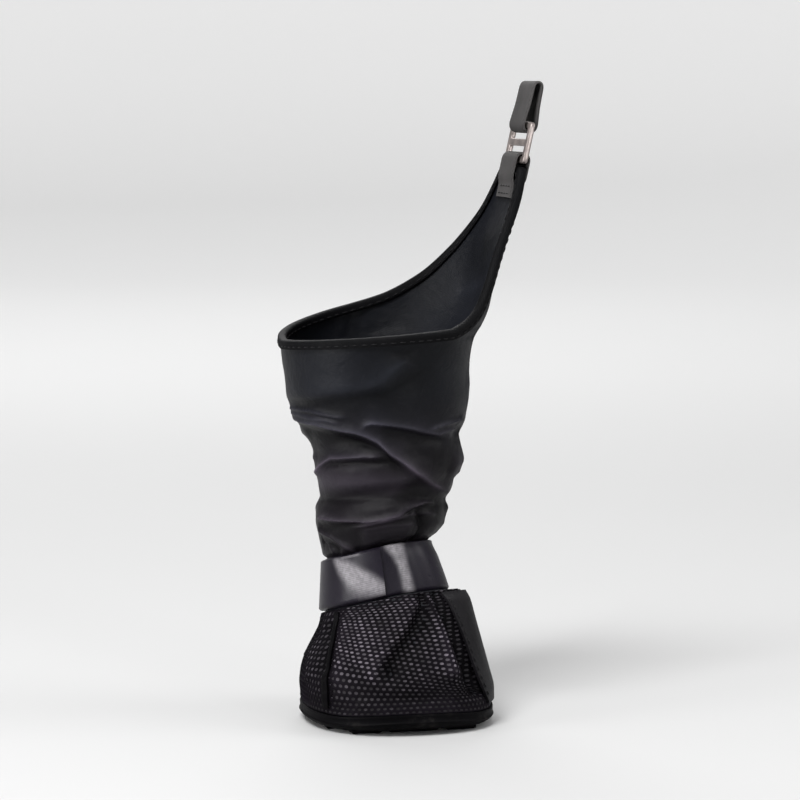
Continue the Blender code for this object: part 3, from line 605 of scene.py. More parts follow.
def leg_relief(angle, height, sizes):
    """Height of the leg's folds, which end at hem and top edge, and the painted light and shade on
    the cloth: along the folds, a painted highlight on the bulge a third of the way up, and painted
    shade under it."""
    share = (height - STRAP_TOP) / (COLLAR_HEIGHT - STRAP_TOP)
    quiet = smooth_step((height - HEM) / 0.010) * smooth_step((top_height(angle) - height) / 0.008)
    folds, painted = relief(LEG_FOLDS, angle, share, LEG_RADIUS, COLLAR_HEIGHT - STRAP_TOP)
    shade = 0.5 * np.exp(-((share - 0.35) / 0.08) ** 2) - 0.6 * smooth_step((0.26 - share) / 0.12)
    return folds * quiet * sizes.fold_scale, painted * quiet + shade


def folded_cloth(height, angle, grow, sizes):
    """Points of the leg's cloth with its folds and back seam, and the painted light and shade
    there.
    """
    rise, painted = leg_relief(angle, height, sizes)
    turn = (angle - SEAM_ANGLE + 180) % 360 - 180
    aside = np.abs(np.radians(turn)) * LEG_RADIUS
    ply = 0.0004
    seam = ply * smooth_step((sizes.seam_width / 2 + ply - aside) / (2 * ply))
    points = leg_points(height, angle, rise + seam + grow)
    points[:, 2] -= rise * sizes.fold_sag
    return points, painted


def bag_relief(angle, height):
    share = (height - SEAT) / (STRAP_FOOT - SEAT)
    quiet = smooth_step((share - 0.15) / 0.14) * smooth_step((1.02 - share) / 0.06)
    return relief(BAG_FOLDS, angle, share, BAG_RADIUS, STRAP_FOOT - SEAT)[0] * quiet


def strap_painted_highlight(angle, share, free_end):
    """Painted highlights on the strap's glossy face, from 0 to 1: a wide patch and a line along the
    top edge on the free end, a narrow streak on the band.
    """
    turn = (angle + 240.0) % 360.0 - 240.0
    if free_end:
        upper, lower = straight_through(PATCH_ROWS, turn)
        patch = smooth_step((upper - share) / 0.30 + 0.5)
        patch *= smooth_step((share - lower) / 0.42 + 0.25)
        edge = 0.6 * (share > 0.94) * smooth_step((turn + 152) / 6) * smooth_step((-122 - turn) / 6)
        return np.maximum(patch ** 2 * smooth_step((turn + 162) / 6), edge)
    left, right = straight_through(STREAK_ROWS, share)
    streak = smooth_step((turn - left) / 8 + 0.4) * smooth_step((right - turn) / 8 + 0.4)
    return streak * mix(0.8, 1.0, smooth_step(np.abs(share - 0.72) / 0.2))


def mark(work, name, values):
    """Writes one value a vertex for a material to read."""
    layer = work.verts.layers.float.new(name)
    for vert, value in zip(work.verts, values):
        vert[layer] = value


def flat_sheet(columns, rows, girth, length):
    """A flat sheet from 0 to 1 both ways, its UV map in metres, and its points' two shares."""
    work = bmesh.new()
    layer = work.loops.layers.uv.new("cloth")
    bmesh.ops.create_grid(work, x_segments=columns, y_segments=rows, size=0.5, calc_uvs=True)
    bmesh.ops.translate(work, vec=(0.5, 0.5, 0.0), verts=work.verts)
    for face in work.faces:
        for loop in face.loops:
            loop[layer].uv = (loop.vert.co.x * girth, loop.vert.co.y * length)
    return work, *np.array([vert.co[:2] for vert in work.verts]).T


def all_round(share, seam=0.0):
    """Angles of a sheet that goes once round, with its joint opposite a given angle."""
    return share * 360 - 180 + seam


def move_to(work, points):
    for vert, point in zip(work.verts, points):
        vert.co = point


def close_seam(work):
    bmesh.ops.remove_doubles(work, verts=work.verts, dist=1e-6)


def close_shell(work, fill=True):
    """Joins a sheet's meeting edges, closes its open ends and turns its faces outwards."""
    close_seam(work)
    ends = [edge for edge in work.edges if edge.is_boundary]
    if fill and ends:
        bmesh.ops.holes_fill(work, edges=ends)
    bmesh.ops.recalc_face_normals(work, faces=work.faces)


def face_outwards(work, centre=(0.0, 0.0)):
    """Turns a shell's faces away from a line up through a point, before it gets its wall."""
    bmesh.ops.recalc_face_normals(work, faces=work.faces)
    middle = Vector((*centre, 0.0))
    facing = 0.0
    for face in work.faces:
        away = face.calc_center_median() - middle
        away.z = 0.0
        facing += face.normal.dot(away) * face.calc_area()
    if facing < 0:
        bmesh.ops.reverse_faces(work, faces=work.faces)


def round_edges(work, edges, radius, segments):
    bmesh.ops.bevel(work, geom=edges, offset=radius, offset_type="OFFSET", segments=segments,
                    profile=0.5, affect="EDGES", material=-1)


def dish_shell(columns, girth, length, rows):
    """A sheet to bend round the foot's outline, its rows' numbers and its points."""
    work, across, up = flat_sheet(columns, len(rows) - 1, girth, length)
    index = np.rint(up * (len(rows) - 1)).astype(int)
    inset, height = np.array(rows)[index].T
    return work, index, sole_points(height, inset, all_round(across))


def make_piece(work, name, node, *finishes, replaced=True, sharp=50):
    """Links a finished mesh as a piece of the boot with its finishes, and hides the node that it
    replaces unless told otherwise.
    """
    materials = boot_materials(bpy.context.scene.boot_colours)
    mesh = bpy.data.meshes.new(name)
    work.to_mesh(mesh)
    work.free()
    mesh.shade_smooth()
    if sharp:
        mesh.set_sharp_from_angle(angle=math.radians(sharp))
    for finish in finishes:
        mesh.materials.append(materials[finish])
    piece = bpy.data.objects.new(name, mesh)
    bpy.context.scene.collection.objects.link(piece)
    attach(piece, "root")
    if replaced:
        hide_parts(node)
    return piece


def add_node(tree, kind, inputs=(), **settings):
    """A node whose inputs are set to values or linked from sockets."""
    node = tree.nodes.new(kind)
    for key, value in settings.items():
        setattr(node, key, value)
    for key, value in dict(inputs).items():
        if isinstance(value, bpy.types.NodeSocket):
            tree.links.new(value, node.inputs[key])
        else:
            node.inputs[key].default_value = value
    return node


def new_group(name, values, results):
    """An empty shader node group that takes a vector and values, and its two ends' sockets."""
    group = bpy.data.node_groups.new(name, "ShaderNodeTree")
    group.interface.new_socket("Vector", in_out="INPUT", socket_type="NodeSocketVector")
    for socket, default in values.items():
        made = group.interface.new_socket(socket, in_out="INPUT", socket_type="NodeSocketFloat")
        made.default_value = default
    for socket in results:
        group.interface.new_socket(socket, in_out="OUTPUT", socket_type="NodeSocketFloat")
    given, made = (group.nodes.new("NodeGroup" + end) for end in ("Input", "Output"))
    return group, given.outputs, made.inputs


def math_node(tree, operation, *values):
    return add_node(tree, "ShaderNodeMath", dict(enumerate(values)), operation=operation).outputs[0]


def noise(tree, vector, scale, detail, **more):
    inputs = {"Vector": vector, "Scale": scale, "Detail": detail, **more}
    return add_node(tree, "ShaderNodeTexNoise", inputs).outputs[0]


def spread(tree, value, low, high, start=0.0, end=1.0, **settings):
    """A value moved from one range to another."""
    inputs = {"Value": value, "From Min": low, "From Max": high, "To Min": start, "To Max": end}
    return add_node(tree, "ShaderNodeMapRange", inputs, **settings).outputs[0]


def parts_of(tree, vector):
    return add_node(tree, "ShaderNodeSeparateXYZ", {0: vector}).outputs


def weave_group():
    """Threads over and under each other, from a UV map in metres."""
    group, given, made = new_group(
        "boot weave", {"Pitch Across": 0.0006, "Pitch Up": 0.0006}, ("Height", "Rib"))
    split = parts_of(group, given["Vector"])
    waves = []
    for way, pitch in (("X", "Pitch Across"), ("Y", "Pitch Up")):
        turns = math_node(group, "DIVIDE", split[way], given[pitch])
        waves.append(math_node(group, "SINE", math_node(group, "MULTIPLY", turns, 2 * math.pi)))
    over = math_node(group, "MULTIPLY", *waves)
    group.links.new(math_node(group, "MULTIPLY_ADD", over, 0.5, 0.5), made["Height"])
    group.links.new(math_node(group, "MULTIPLY_ADD", waves[1], 0.5, 0.5), made["Rib"])
    return group


def mottle_group():
    """Slow uneven tone, and a finer crinkle to bump."""
    group, given, made = new_group(
        "boot mottle", {"Scale": 60.0, "Low": 0.8, "High": 1.2}, ("Tone", "Crinkle"))
    slow = noise(group, given["Vector"], given["Scale"], 3.0, Roughness=0.55)
    tone = spread(group, slow, 0.35, 0.65, given["Low"], given["High"])
    group.links.new(tone, made["Tone"])
    scale = math_node(group, "MULTIPLY", given["Scale"], 4.5)
    fine = noise(group, given["Vector"], scale, 4.0, Roughness=0.6, Distortion=0.6)
    group.links.new(fine, made["Crinkle"])
    return group


def dust_group():
    """Fine pale lint, thickest low on the boot."""
    group, given, made = new_group("boot dust", {"Amount": 0.1, "Top": 0.03}, ("Mask",))
    fine = spread(group, noise(group, given["Vector"], 420.0, 3.0, Roughness=0.7), 0.52, 0.74)
    broad = spread(group, noise(group, given["Vector"], 55.0, 2.0), 0.40, 0.66)
    low = spread(group, parts_of(group, given["Vector"])["Z"], 0.0, given["Top"], 1.0, 0.25)
    mask = math_node(group, "MULTIPLY", math_node(group, "MULTIPLY", fine, broad), low)
    group.links.new(math_node(group, "MULTIPLY", mask, given["Amount"]), made["Mask"])
    return group


def new_material(name, roughness, specular=0.5, metallic=0.0):
    """A material with its shader, and the sockets of its texture coordinates."""
    material = bpy.data.materials.new(name)
    material.use_nodes = True
    tree = material.node_tree
    tree.nodes.clear()
    shader = add_node(tree, "ShaderNodeBsdfPrincipled", {
        "Roughness": roughness, "Specular IOR Level": specular, "Metallic": metallic})
    add_node(tree, "ShaderNodeOutputMaterial", {"Surface": shader.outputs[0]})
    return material, tree, shader, add_node(tree, "ShaderNodeTexCoord").outputs


def place_group(tree, name, vector, **inputs):
    return add_node(tree, "ShaderNodeGroup", {"Vector": vector, **inputs},
                    node_tree=GROUPS[name]).outputs


def marked(tree, name):
    """A value that the mesh carries."""
    return add_node(tree, "ShaderNodeAttribute", attribute_name=name).outputs["Fac"]


def shaded(tree, colour, factor):
    """A colour scaled by a value that changes over the surface."""
    return add_node(tree, "ShaderNodeVectorMath", {0: colour, "Scale": factor},
                    operation="SCALE").outputs[0]


def lightened(tree, factor, fold, strength):
    """A factor that grows with the height of the folds: painted highlight on crests, painted shade
    in hollows.
    """
    return math_node(tree, "MULTIPLY", factor,
                     math_node(tree, "POWER", math.exp(strength), marked(tree, fold)))


def blend_colours(tree, factor, first, second):
    node = add_node(tree, "ShaderNodeMix", {"Factor": factor}, data_type="RGBA")
    for index, value in ((6, first), (7, second)):
        if isinstance(value, bpy.types.NodeSocket):
            tree.links.new(value, node.inputs[index])
        else:
            node.inputs[index].default_value = (*value, 1.0)
    return node.outputs[2]


def finish_shader(tree, shader, colour, roughness, bumps):
    """Links the colour, the roughness if it varies, and bumps one over the other: height, distance
    in metres and strength of each."""
    tree.links.new(colour, shader.inputs["Base Color"])
    if roughness:
        rough = math_node(tree, "MULTIPLY_ADD", *roughness)
        tree.links.new(rough, shader.inputs["Roughness"])
    under = {}
    for height, distance, strength in bumps:
        inputs = {"Height": height, "Distance": distance, "Strength": strength, **under}
        under = {"Normal": add_node(tree, "ShaderNodeBump", inputs).outputs[0]}
    tree.links.new(under["Normal"], shader.inputs["Normal"])


def cloth_material(name, colour, roughness, specular, pitch, weave_depth, crinkle,
                   tone=(0.8, 1.25), low=None, folded=0.0, painted_highlight=None):
    """Woven cloth: threads from the UV map, crinkle, uneven tone and a little dust. It can turn to
    a second colour low down, carry painted light and shade on its folds, and carry a painted
    highlight where its mesh says so."""
    material, tree, shader, place = new_material(name, roughness, specular)
    pitches = {"Pitch Across": pitch[0], "Pitch Up": pitch[1]}
    woven = place_group(tree, "weave", place["UV"], **pitches)
    mottle = place_group(tree, "mottle", place["Object"], Scale=55.0, Low=tone[0], High=tone[1])
    lint = place_group(tree, "dust", place["Object"], Amount=0.05)
    threads = math_node(tree, "MULTIPLY_ADD", woven["Height"], 0.3, 0.85)
    factor = math_node(tree, "MULTIPLY", mottle["Tone"], threads)
    if folded:
        factor = lightened(tree, factor, "fold", folded)
    if low:
        up = spread(tree, parts_of(tree, place["Object"])["Z"], 0.078, 0.104)
        colour = blend_colours(tree, up, low, colour)
    base = blend_colours(tree, lint["Mask"], shaded(tree, colour, factor), LINT)
    # Painted highlight: a pale colour laid over the base where the mesh's mask says so, broken by
    # ribs and speckle
    if painted_highlight:
        ribs = math_node(tree, "MULTIPLY_ADD", woven["Rib"], 0.22, 0.70)
        speckle = noise(tree, place["Object"], 900.0, 2.0)
        uneven = math_node(tree, "MULTIPLY_ADD", speckle, 1.1, 0.45)
        painted = math_node(tree, "MULTIPLY", marked(tree, "painted_highlight"), ribs)
        base = blend_colours(tree, math_node(tree, "MULTIPLY", painted, uneven), base, painted_highlight)
    finish_shader(tree, shader, base, (mottle["Crinkle"], 0.16, roughness - 0.08),
                  [(mottle["Crinkle"], crinkle, 0.9), (woven["Height"], weave_depth, 0.7)])
    return material


def grained_material(name, colour, roughness, specular, tone, grain, bump, dust=None, rough=None,
                     folded=0.0, metallic=0.0):
    """A fine grain to bump, under an uneven tone that is the mesh's own where none is given. It can
    have dust, uneven roughness, and painted light and shade on its folds. Without a grain the
    mottle's crinkle is bumped."""
    material, tree, shader, place = new_material(name, roughness, specular, metallic)
    vector = place["Object"]
    if tone:
        mottle = place_group(tree, "mottle", vector, Scale=tone[0], Low=tone[1], High=tone[2])
        factor = mottle["Tone"]
    else:
        factor = marked(tree, "cell_tone")
    if folded:
        factor = lightened(tree, factor, "fold", folded)
    base = shaded(tree, colour, factor)
    if dust:
        amount, top, lint = dust
        mask = place_group(tree, "dust", vector, Amount=amount, Top=top)["Mask"]
        base = blend_colours(tree, mask, base, lint)
    height = noise(tree, vector, *grain) if grain else mottle["Crinkle"]
    finish_shader(tree, shader, base, rough and (mottle["Crinkle"], *rough), [(height, *bump)])
    return material


def foam_material(name, colour, roughness, specular):
    """Foam with small open cells."""
    material, tree, shader, place = new_material(name, roughness, specular)
    mottle = place_group(tree, "mottle", place["Object"], Scale=80.0, Low=0.8, High=1.2)
    cells = add_node(tree, "ShaderNodeTexVoronoi", {"Vector": place["Object"], "Scale": 1400.0})
    finish_shader(tree, shader, shaded(tree, colour, mottle["Tone"]), None,
                  [(cells.outputs["Distance"], 0.0002, 0.8)])
    return material


def boot_materials(colours):
    """Every finish of the boot, made once."""
    if MATERIALS:
        return MATERIALS
    GROUPS.update(weave=weave_group(), mottle=mottle_group(), dust=dust_group())
    fine = (0.00055, 0.00055)
    # The strap's face carries painted highlights in a pale colour
    painted = {"tone": (0.85, 1.15), "painted_highlight": tuple(colours.strap_highlight)}
    # Name, colour and its share, roughness, specular, thread pitches, depth of weave and crinkle.
    for key, name, colour, share, *values, more in (
            # The leg nylon carries painted light and shade on its folds.
            ("nylon", "leg_nylon", colours.nylon, 1.0, 0.38, 0.14, fine, 0.00005, 0.00030,
             {"low": tuple(colours.nylon_low), "folded": 0.75}),
            ("lining", "lining", colours.nylon, 1.4, 0.7, 0.3, (0.0008, 0.0008), 0.00008, 0.0002,
             {}),
            ("panel", "panel_cloth", colours.panel, 1.0, 0.45, 0.16, fine, 0.00006, 0.00016, {}),
            ("tape", "seam_tape", colours.panel, 0.35, 0.60, 0.04, fine, 0.00006, 0.00016, {}),
            ("strap", "strap_gloss", colours.strap, 1.0, 0.30, 0.28, (0.0011, 0.00065), 0.00003,
             0.00008, painted),
            ("binding", "binding_tape", colours.binding, 1.0, 0.60, 0.09, (0.0009, 0.0005), 0.00008,
             0.0001, {}),
            ("webbing", "grey_webbing", colours.webbing, 1.0, 0.75, 0.35, (0.0013, 0.0009), 0.00022,
             0.0001, {"tone": (0.75, 1.3)}),
            ("thread", "sewing_thread", colours.thread, 1.0, 0.5, 0.2, (0.0004, 0.0004), 0.00003,
             0.00003, {})):
        MATERIALS[key] = cloth_material(name, tuple(c * share for c in colour), *values, **more)
    # The mesh threads carry painted light and shade on their folds; the cells' tones come from the
    # mesh
    MATERIALS["mesh_thread"] = grained_material(
        "mesh_thread", tuple(colours.mesh_thread), 0.60, 0.04, (90.0, 0.7, 1.5), (4200.0, 2.0),
        (0.00012, 0.8), dust=(0.04, 0.03, LINT), folded=0.5)
    MATERIALS["mesh_cell"] = grained_material(
        "mesh_cell", tuple(colours.mesh_cell), 0.6, 0.18, None, (2600.0, 2.0), (0.00010, 0.6))
    MATERIALS["rubber"] = grained_material(
        "sole_rubber", tuple(colours.rubber), 0.55, 0.05, (70.0, 0.75, 1.35), (1500.0, 3.0),
        (0.00006, 0.7), dust=(0.14, 0.008, SOLE_DUST), rough=(0.2, 0.42))
    MATERIALS["slide"] = grained_material(
        "slide_plate", tuple(colours.slide), 0.34, 0.5, (260.0, 0.75, 1.15), None, (0.00004, 0.5),
        rough=(0.3, 0.2), metallic=0.75)
    MATERIALS["foam"] = foam_material("insole_foam", tuple(colours.foam), 0.85, 0.3)
    return MATERIALS


def add_stitches(work, points, outs, sizes, sink):
    """Small rounded stitches along a line of points, each lying on the cloth."""
    run = run_along(points)
    length, radius = sizes.stitch_length, sizes.stitch_radius
    for start in np.arange(sizes.stitch_pitch / 2, run[-1] - length, sizes.stitch_pitch):
        first, last, out = (Vector([np.interp(at, run, column) for column in rows.T])
                            for at, rows in ((start, points), (start + length, points),
                                             (start + length / 2, outs)))
        out.normalize()
        along = (last - first).normalized()
        side = out.cross(along).normalized()
        turn = Matrix((along, side, along.cross(side))).transposed().to_4x4()
        middle = (first + last) / 2 + out * radius * sink
        size = Matrix.Diagonal((length / 2, radius, radius, 1.0))
        bmesh.ops.create_icosphere(work, subdivisions=1, radius=1.0,
                                   matrix=Matrix.Translation(middle) @ turn @ size)


def sew(name, node, sizes, lines, sink=0.35):
    """Makes a piece of the stitches along lines of points, each given with its ways outwards."""
    work = bmesh.new()
    for points, outs in lines:
        add_stitches(work, points, outs, sizes, sink)
    make_piece(work, name, node, "thread", replaced=False, sharp=0)


class BOOT_OT_leg(Operator):
    """Builds the slack nylon leg with its folds and the seam up its back"""

    bl_idname = "boot.leg"
    bl_label = "Leg"

    def execute(self, context):
        sizes = context.scene.boot_leg
        work = self.wrap(330, 200, 0.0, sizes)
        inside = self.wrap(165, 100, SHAFT_WALL, sizes)
        bmesh.ops.reverse_faces(inside, faces=inside.faces)
        lining = bpy.data.meshes.new("leg_lining")
        inside.to_mesh(lining)
        inside.free()
        work.from_mesh(lining)
        bpy.data.meshes.remove(lining)
        half_way = (STRAP_TOP + COLLAR_HEIGHT) / 2
        for high in (True, False):
            rims = [edge for edge in work.edges
                    if edge.is_boundary and (edge.verts[0].co.z > half_way) == high]
            bmesh.ops.bridge_loops(work, edges=rims)
        make_piece(work, "leg_cloth", "shaft", "nylon", sharp=60)
        # Two rows of stitches up the felled seam
        side = math.degrees((sizes.seam_width / 2 - 0.0007) / LEG_RADIUS)
        height = np.linspace(STRAP_TOP + 0.0015, top_height(SEAM_ANGLE)[0] - 0.003, 240)
        lines = []
        for way in (1, -1):
            angle = np.full(len(height), SEAM_ANGLE + way * side)
            line = folded_cloth(height, angle, STITCH_OFF, sizes)[0]
            lines.append((line, folded_cloth(height, angle, OUT_STEP, sizes)[0] - line))
        sew("seam_stitches", "shaft", sizes, lines, -0.25)
        return {"FINISHED"}

    def wrap(self, columns, rows, inset, sizes):
        """A flat sheet wrapped round the leg, with its folds."""
        work, across, up = flat_sheet(columns, rows, 0.170, 0.100)
        angle = all_round(across, SEAM_ANGLE)
        points, painted = folded_cloth(mix(HEM, top_height(angle), up), angle, -inset, sizes)
        # Painted light and shade along the folds, for the material to read
        mark(work, "fold", painted)
        move_to(work, points)
        close_seam(work)
        face_outwards(work, (ANKLE_X, ANKLE_Y))
        return work


class BOOT_OT_foot_bag(Operator):
    """Builds the foot bag: its lining and the knitted mesh over it"""

    bl_idname = "boot.foot_bag"
    bl_label = "Foot Bag"

    def execute(self, context):
        sizes = context.scene.boot_foot
        work, across, up = flat_sheet(150, 60, 0.190, 0.050)
        angle = all_round(across, 40)
        height = mix(SEAT, BAG[-1, 0], up)
        rise = bag_relief(angle, height)
        move_to(work, bag_points(height, angle, rise - sizes.thread_height - 0.00006))
        close_seam(work)
        face_outwards(work)
        bmesh.ops.solidify(work, geom=work.faces[:], thickness=UPPER_WALL - sizes.thread_height)
        make_piece(work, "bag_lining", "upper", "lining")
        self.knit("front_mesh", -102, (-156, -33), 0.22, 0.45, 0.92, sizes)
        self.knit("back_mesh", 139, (62, 214), 0.0, 0.0, 0.55, sizes)
        return {"FINISHED"}

    def honeycomb(self, columns, rows, sizes):
        """A flat mesh of six-sided cells, sunk between raised threads."""
        work = bmesh.new()
        layer = work.loops.layers.uv.new("cloth")
        bmesh.ops.create_grid(work, x_segments=2 * columns, y_segments=rows, size=0.5)
        bmesh.ops.scale(work, vec=(2 * columns, rows, 1.0), verts=work.verts)
        bmesh.ops.translate(work, vec=(columns, rows / 2, 0.0), verts=work.verts)
        odd = []
        for edge in work.edges:
            one, other = (vert.co for vert in edge.verts)
            if abs(one.x - other.x) < 0.1 and not edge.is_boundary:
                if (round(one.x) + int((one.y + other.y) / 2)) % 2:
                    odd.append(edge)
        bmesh.ops.dissolve_edges(work, edges=odd, use_verts=False)
        for vert in work.verts:
            for edge in vert.link_edges:
                other = edge.other_vert(vert)
                if abs(other.co.x - vert.co.x) < 0.1 and not vert.is_boundary:
                    vert.co.z = 1.0 if other.co.y > vert.co.y else -1.0
        for vert in work.verts:
            vert.co.y += CORNER_OFF * vert.co.z
            vert.co.z = 0.0
        bmesh.ops.scale(work, vec=(sizes.cell_width / 2, sizes.cell_height, 1.0), verts=work.verts)
        bmesh.ops.translate(work, vec=(-columns * sizes.cell_width / 2, 0.0, 0.0), verts=work.verts)
        bmesh.ops.inset_individual(work, faces=work.faces[:], thickness=sizes.thread_width / 2,
                                   depth=-sizes.thread_height, use_even_offset=True)
        for face in work.faces:
            for loop in face.loops:
                loop[layer].uv = loop.vert.co.xy
        return work

    def knit(self, name, middle, seams, tilt, shear, pale, sizes):
        """A piece of mesh of even pitch, cut to its two seams. Rows and columns may lie askew."""
        levels = np.linspace(MESH_FOOT, STRAP_FOOT + MESH_LAP, 60)
        turns = np.linspace(middle - MESH_SWEEP, middle + MESH_SWEEP, 260)
        climb = run_along(bag_points(levels, middle))
        arcs = []
        for level in levels:
            arc = run_along(bag_points(level, turns))
            arcs.append(arc - np.interp(middle, turns, arc))
        reach = max(abs(np.interp(seam, turns, arc)) for arc in arcs for seam in seams)
        rows = int((climb[-1] + tilt * reach) / sizes.cell_height)
        columns = 2 * int((reach + shear * climb[-1]) / sizes.cell_width) + 2
        work = self.honeycomb(columns, rows, sizes)
        x, y, out = np.array([vert.co[:] for vert in work.verts]).T
        above = np.maximum(y - 0.007, 0.0)
        x = x + shear * above ** 2 / (above + 0.004)
        y = y - tilt * x * smooth_step((y - 0.003) / 0.012)
        height = np.interp(y, climb, levels)
        place = np.interp(y, climb, np.arange(len(levels)))
        low = np.clip(place.astype(int), 0, len(levels) - 2)
        angle = np.zeros(len(x))
        for level in np.unique(low):
            here = low == level
            angle[here] = mix(np.interp(x[here], arcs[level], turns),
                              np.interp(x[here], arcs[level + 1], turns), place[here] - level)
        rise = bag_relief(angle, height)
        outside = (angle < seams[0]) | (angle > seams[1]) | (y > climb[-1])
        # Painted highlight on the folds' crests and painted shade in their hollows, down to the
        # deepest fold, for the threads, which are also lighter near the sole
        sunk = np.maximum(rise * 1000, DARKEST_FOLD)
        mark(work, "fold", sunk + 0.9 * (1 - smooth_step((height - 0.006) / 0.012)))
        move_to(work, bag_points(height, angle, rise + out))
        tone = work.faces.layers.float.new("cell_tone")
        work.verts.index_update()
        gone = [face for face in work.faces if all(outside[vert.index] for vert in face.verts)]
        chance = random.Random(7)
        # Each cell's tone: random, dimmer low on the bag, with painted shade in the folds' hollows
        # and a painted highlight on their crests, scaled by the piece's factor
        fade = mix(0.30, 1.0, smooth_step((height - 0.006) / 0.013))
        lit = np.exp(0.60 * np.minimum(sunk, 1.2))
        for face in work.faces:
            if len(face.verts) == 6:
                face.material_index = 1
                where = face.verts[0].index
                face[tone] = chance.uniform(*CELL_TONES) * fade[where] * lit[where] * pale
        bmesh.ops.delete(work, geom=gone, context="FACES")
        make_piece(work, name, "upper", "mesh_thread", "mesh_cell", replaced=False, sharp=0)


class BOOT_OT_side_panel(Operator):
    """Builds the smooth panel on the outer side and the tape on the inner seam"""

    bl_idname = "boot.side_panel"
    bl_label = "Side Panel and Seam Tape"

    def execute(self, context):
        low, high = PANEL_ROWS[[0, -1], 0]
        work, across, up = flat_sheet(70, 60, 0.070, 0.030)
        share = mix(low, high, up)
        ends = smooth_through(PANEL_ROWS, share)
        move_to(work, self.panel_points(share, mix(ends[:, 0], ends[:, 1], across)))
        face_outwards(work)
        bmesh.ops.solidify(work, geom=work.faces[:], thickness=PANEL_WALL)
        make_piece(work, "panel_cloth", "side_panel", "panel")
        work, across, up = flat_sheet(6, 60, 0.005, 0.030)
        angle = mix(*TAPE_ANGLES, across)
        height = mix(SEAT, STRAP_FOOT, mix(low, high, up))
        crown = 0.0002 * np.sin(across * math.pi)
        rise = bag_relief(angle, height) + 0.0002 + TAPE_WALL + crown
        move_to(work, bag_points(height, angle, rise))
        face_outwards(work)
        bmesh.ops.solidify(work, geom=work.faces[:], thickness=TAPE_WALL)
        make_piece(work, "seam_tape_cloth", "seam_tape", "tape")
        # A row of stitches along each long edge of the panel
        share = np.linspace(low + 0.04, high - 0.02, 120)
        ends = smooth_through(PANEL_ROWS, share)
        lines = []
        for angle in (ends[:, 0] + 2.6, ends[:, 1] - 2.6):
            line = self.panel_points(share, angle, STITCH_OFF)
            lines.append((line, self.panel_points(share, angle, OUT_STEP) - line))
        sew("panel_stitches", "side_panel", context.scene.boot_leg, lines)
        return {"FINISHED"}

    def panel_points(self, share, angle, grow=0.0):
        height = mix(SEAT, STRAP_FOOT, share)
        rise = np.maximum(bag_relief(angle, height), -0.0002) * 0.6
        thin = mix(0.0005, GAP + PANEL_WALL, smooth_step((share - PANEL_ROWS[0, 0]) / 0.16))
        return bag_points(height, angle, rise + thin + grow)


def rounded_profile(share, width, wall):
    """Round a strap's cross-section: share of its width, and height off its inner face."""
    edge = wall / 2
    flat = width - 2 * edge
    bend = math.pi * edge
    run = share * (2 * flat + 2 * bend)
    upper, lower = (run - flat) / edge, (run - 2 * flat - bend) / edge
    parts = [run < flat, run < flat + bend, run < 2 * flat + bend]
    up = np.select(parts, [edge + run, width - edge + edge * np.sin(upper),
                           width - edge - (run - flat - bend)], edge - edge * np.sin(lower))
    out = np.select(parts, [wall, edge + edge * np.cos(upper), 0.0], edge - edge * np.cos(lower))
    return up / width, out


class BOOT_OT_strap(Operator):
    """Builds the ankle strap and its free end"""

    bl_idname = "boot.strap"
    bl_label = "Ankle Strap"

    def execute(self, context):
        self.band("strap_band", "ankle_strap", 200, 0.115, False)
        self.band("strap_end_band", "strap_end", 90, 0.045, True)
        return {"FINISHED"}

    def band(self, name, node, columns, girth, free_end):
        """One turn of the strap, or its free end, which lies over the first turn."""
        work, across, share = flat_sheet(columns, 44, girth, 2 * STRAP_HEIGHT)
        up, out = rounded_profile(share, STRAP_HEIGHT, STRAP_WALL)
        if free_end:
            angle = mix(*FREE_END_ANGLES, across)
            up = mix(0.03, 0.97, up)
            under = GAP + STRAP_WALL + GAP
        else:
            angle = all_round(across, 95)
            under = GAP
        rise = relief(STRAP_FOLDS, angle, up, STRAP_RADIUS, STRAP_HEIGHT)[0]
        # Painted highlights on the strap's face, for the material to read
        mark(work, "painted_highlight", strap_painted_highlight(angle, up, free_end))
        move_to(work, leg_points(STRAP_FOOT + up * STRAP_HEIGHT, angle, under + out + rise))
        close_shell(work)
        make_piece(work, name, node, "strap")


def units(vectors):
    return vectors / np.linalg.norm(vectors, axis=1)[:, None]


def edge_frames(angles):
    """Along the top edge: its middle, the way out of the leg, and the way up the cloth."""
    half = -SHAFT_WALL / 2
    before, top, after = (leg_points(top_height(angles + step), angles + step, half)
                          for step in (-1.0, 0.0, 1.0))
    along = units(after - before)
    out = units(np.cross(along, units(
        top - leg_points(top_height(angles) - BINDING_DROP, angles, half))))
    return top, out, np.cross(out, along)


def folded_profile(share, half, wall, leg, crown):
    """Round a folded tape's cross-section: out of the cloth and up it, the outside first."""
    def path(run, side, top):
        bend = math.pi * side
        run = run * (2 * leg + bend)
        turn = np.clip((run - leg) / side, 0.0, math.pi)
        rise = top * np.sin(turn) - np.maximum(leg - run, 0.0) - np.maximum(run - leg - bend, 0.0)
        return np.stack([side * np.cos(turn), rise])
    outer = path(np.minimum(share * 2, 1.0), half, crown)
    inner = path(np.clip(2 - share * 2, 0.0, 1.0), half - wall, crown - wall)
    return np.where(share <= 0.5, outer, inner)


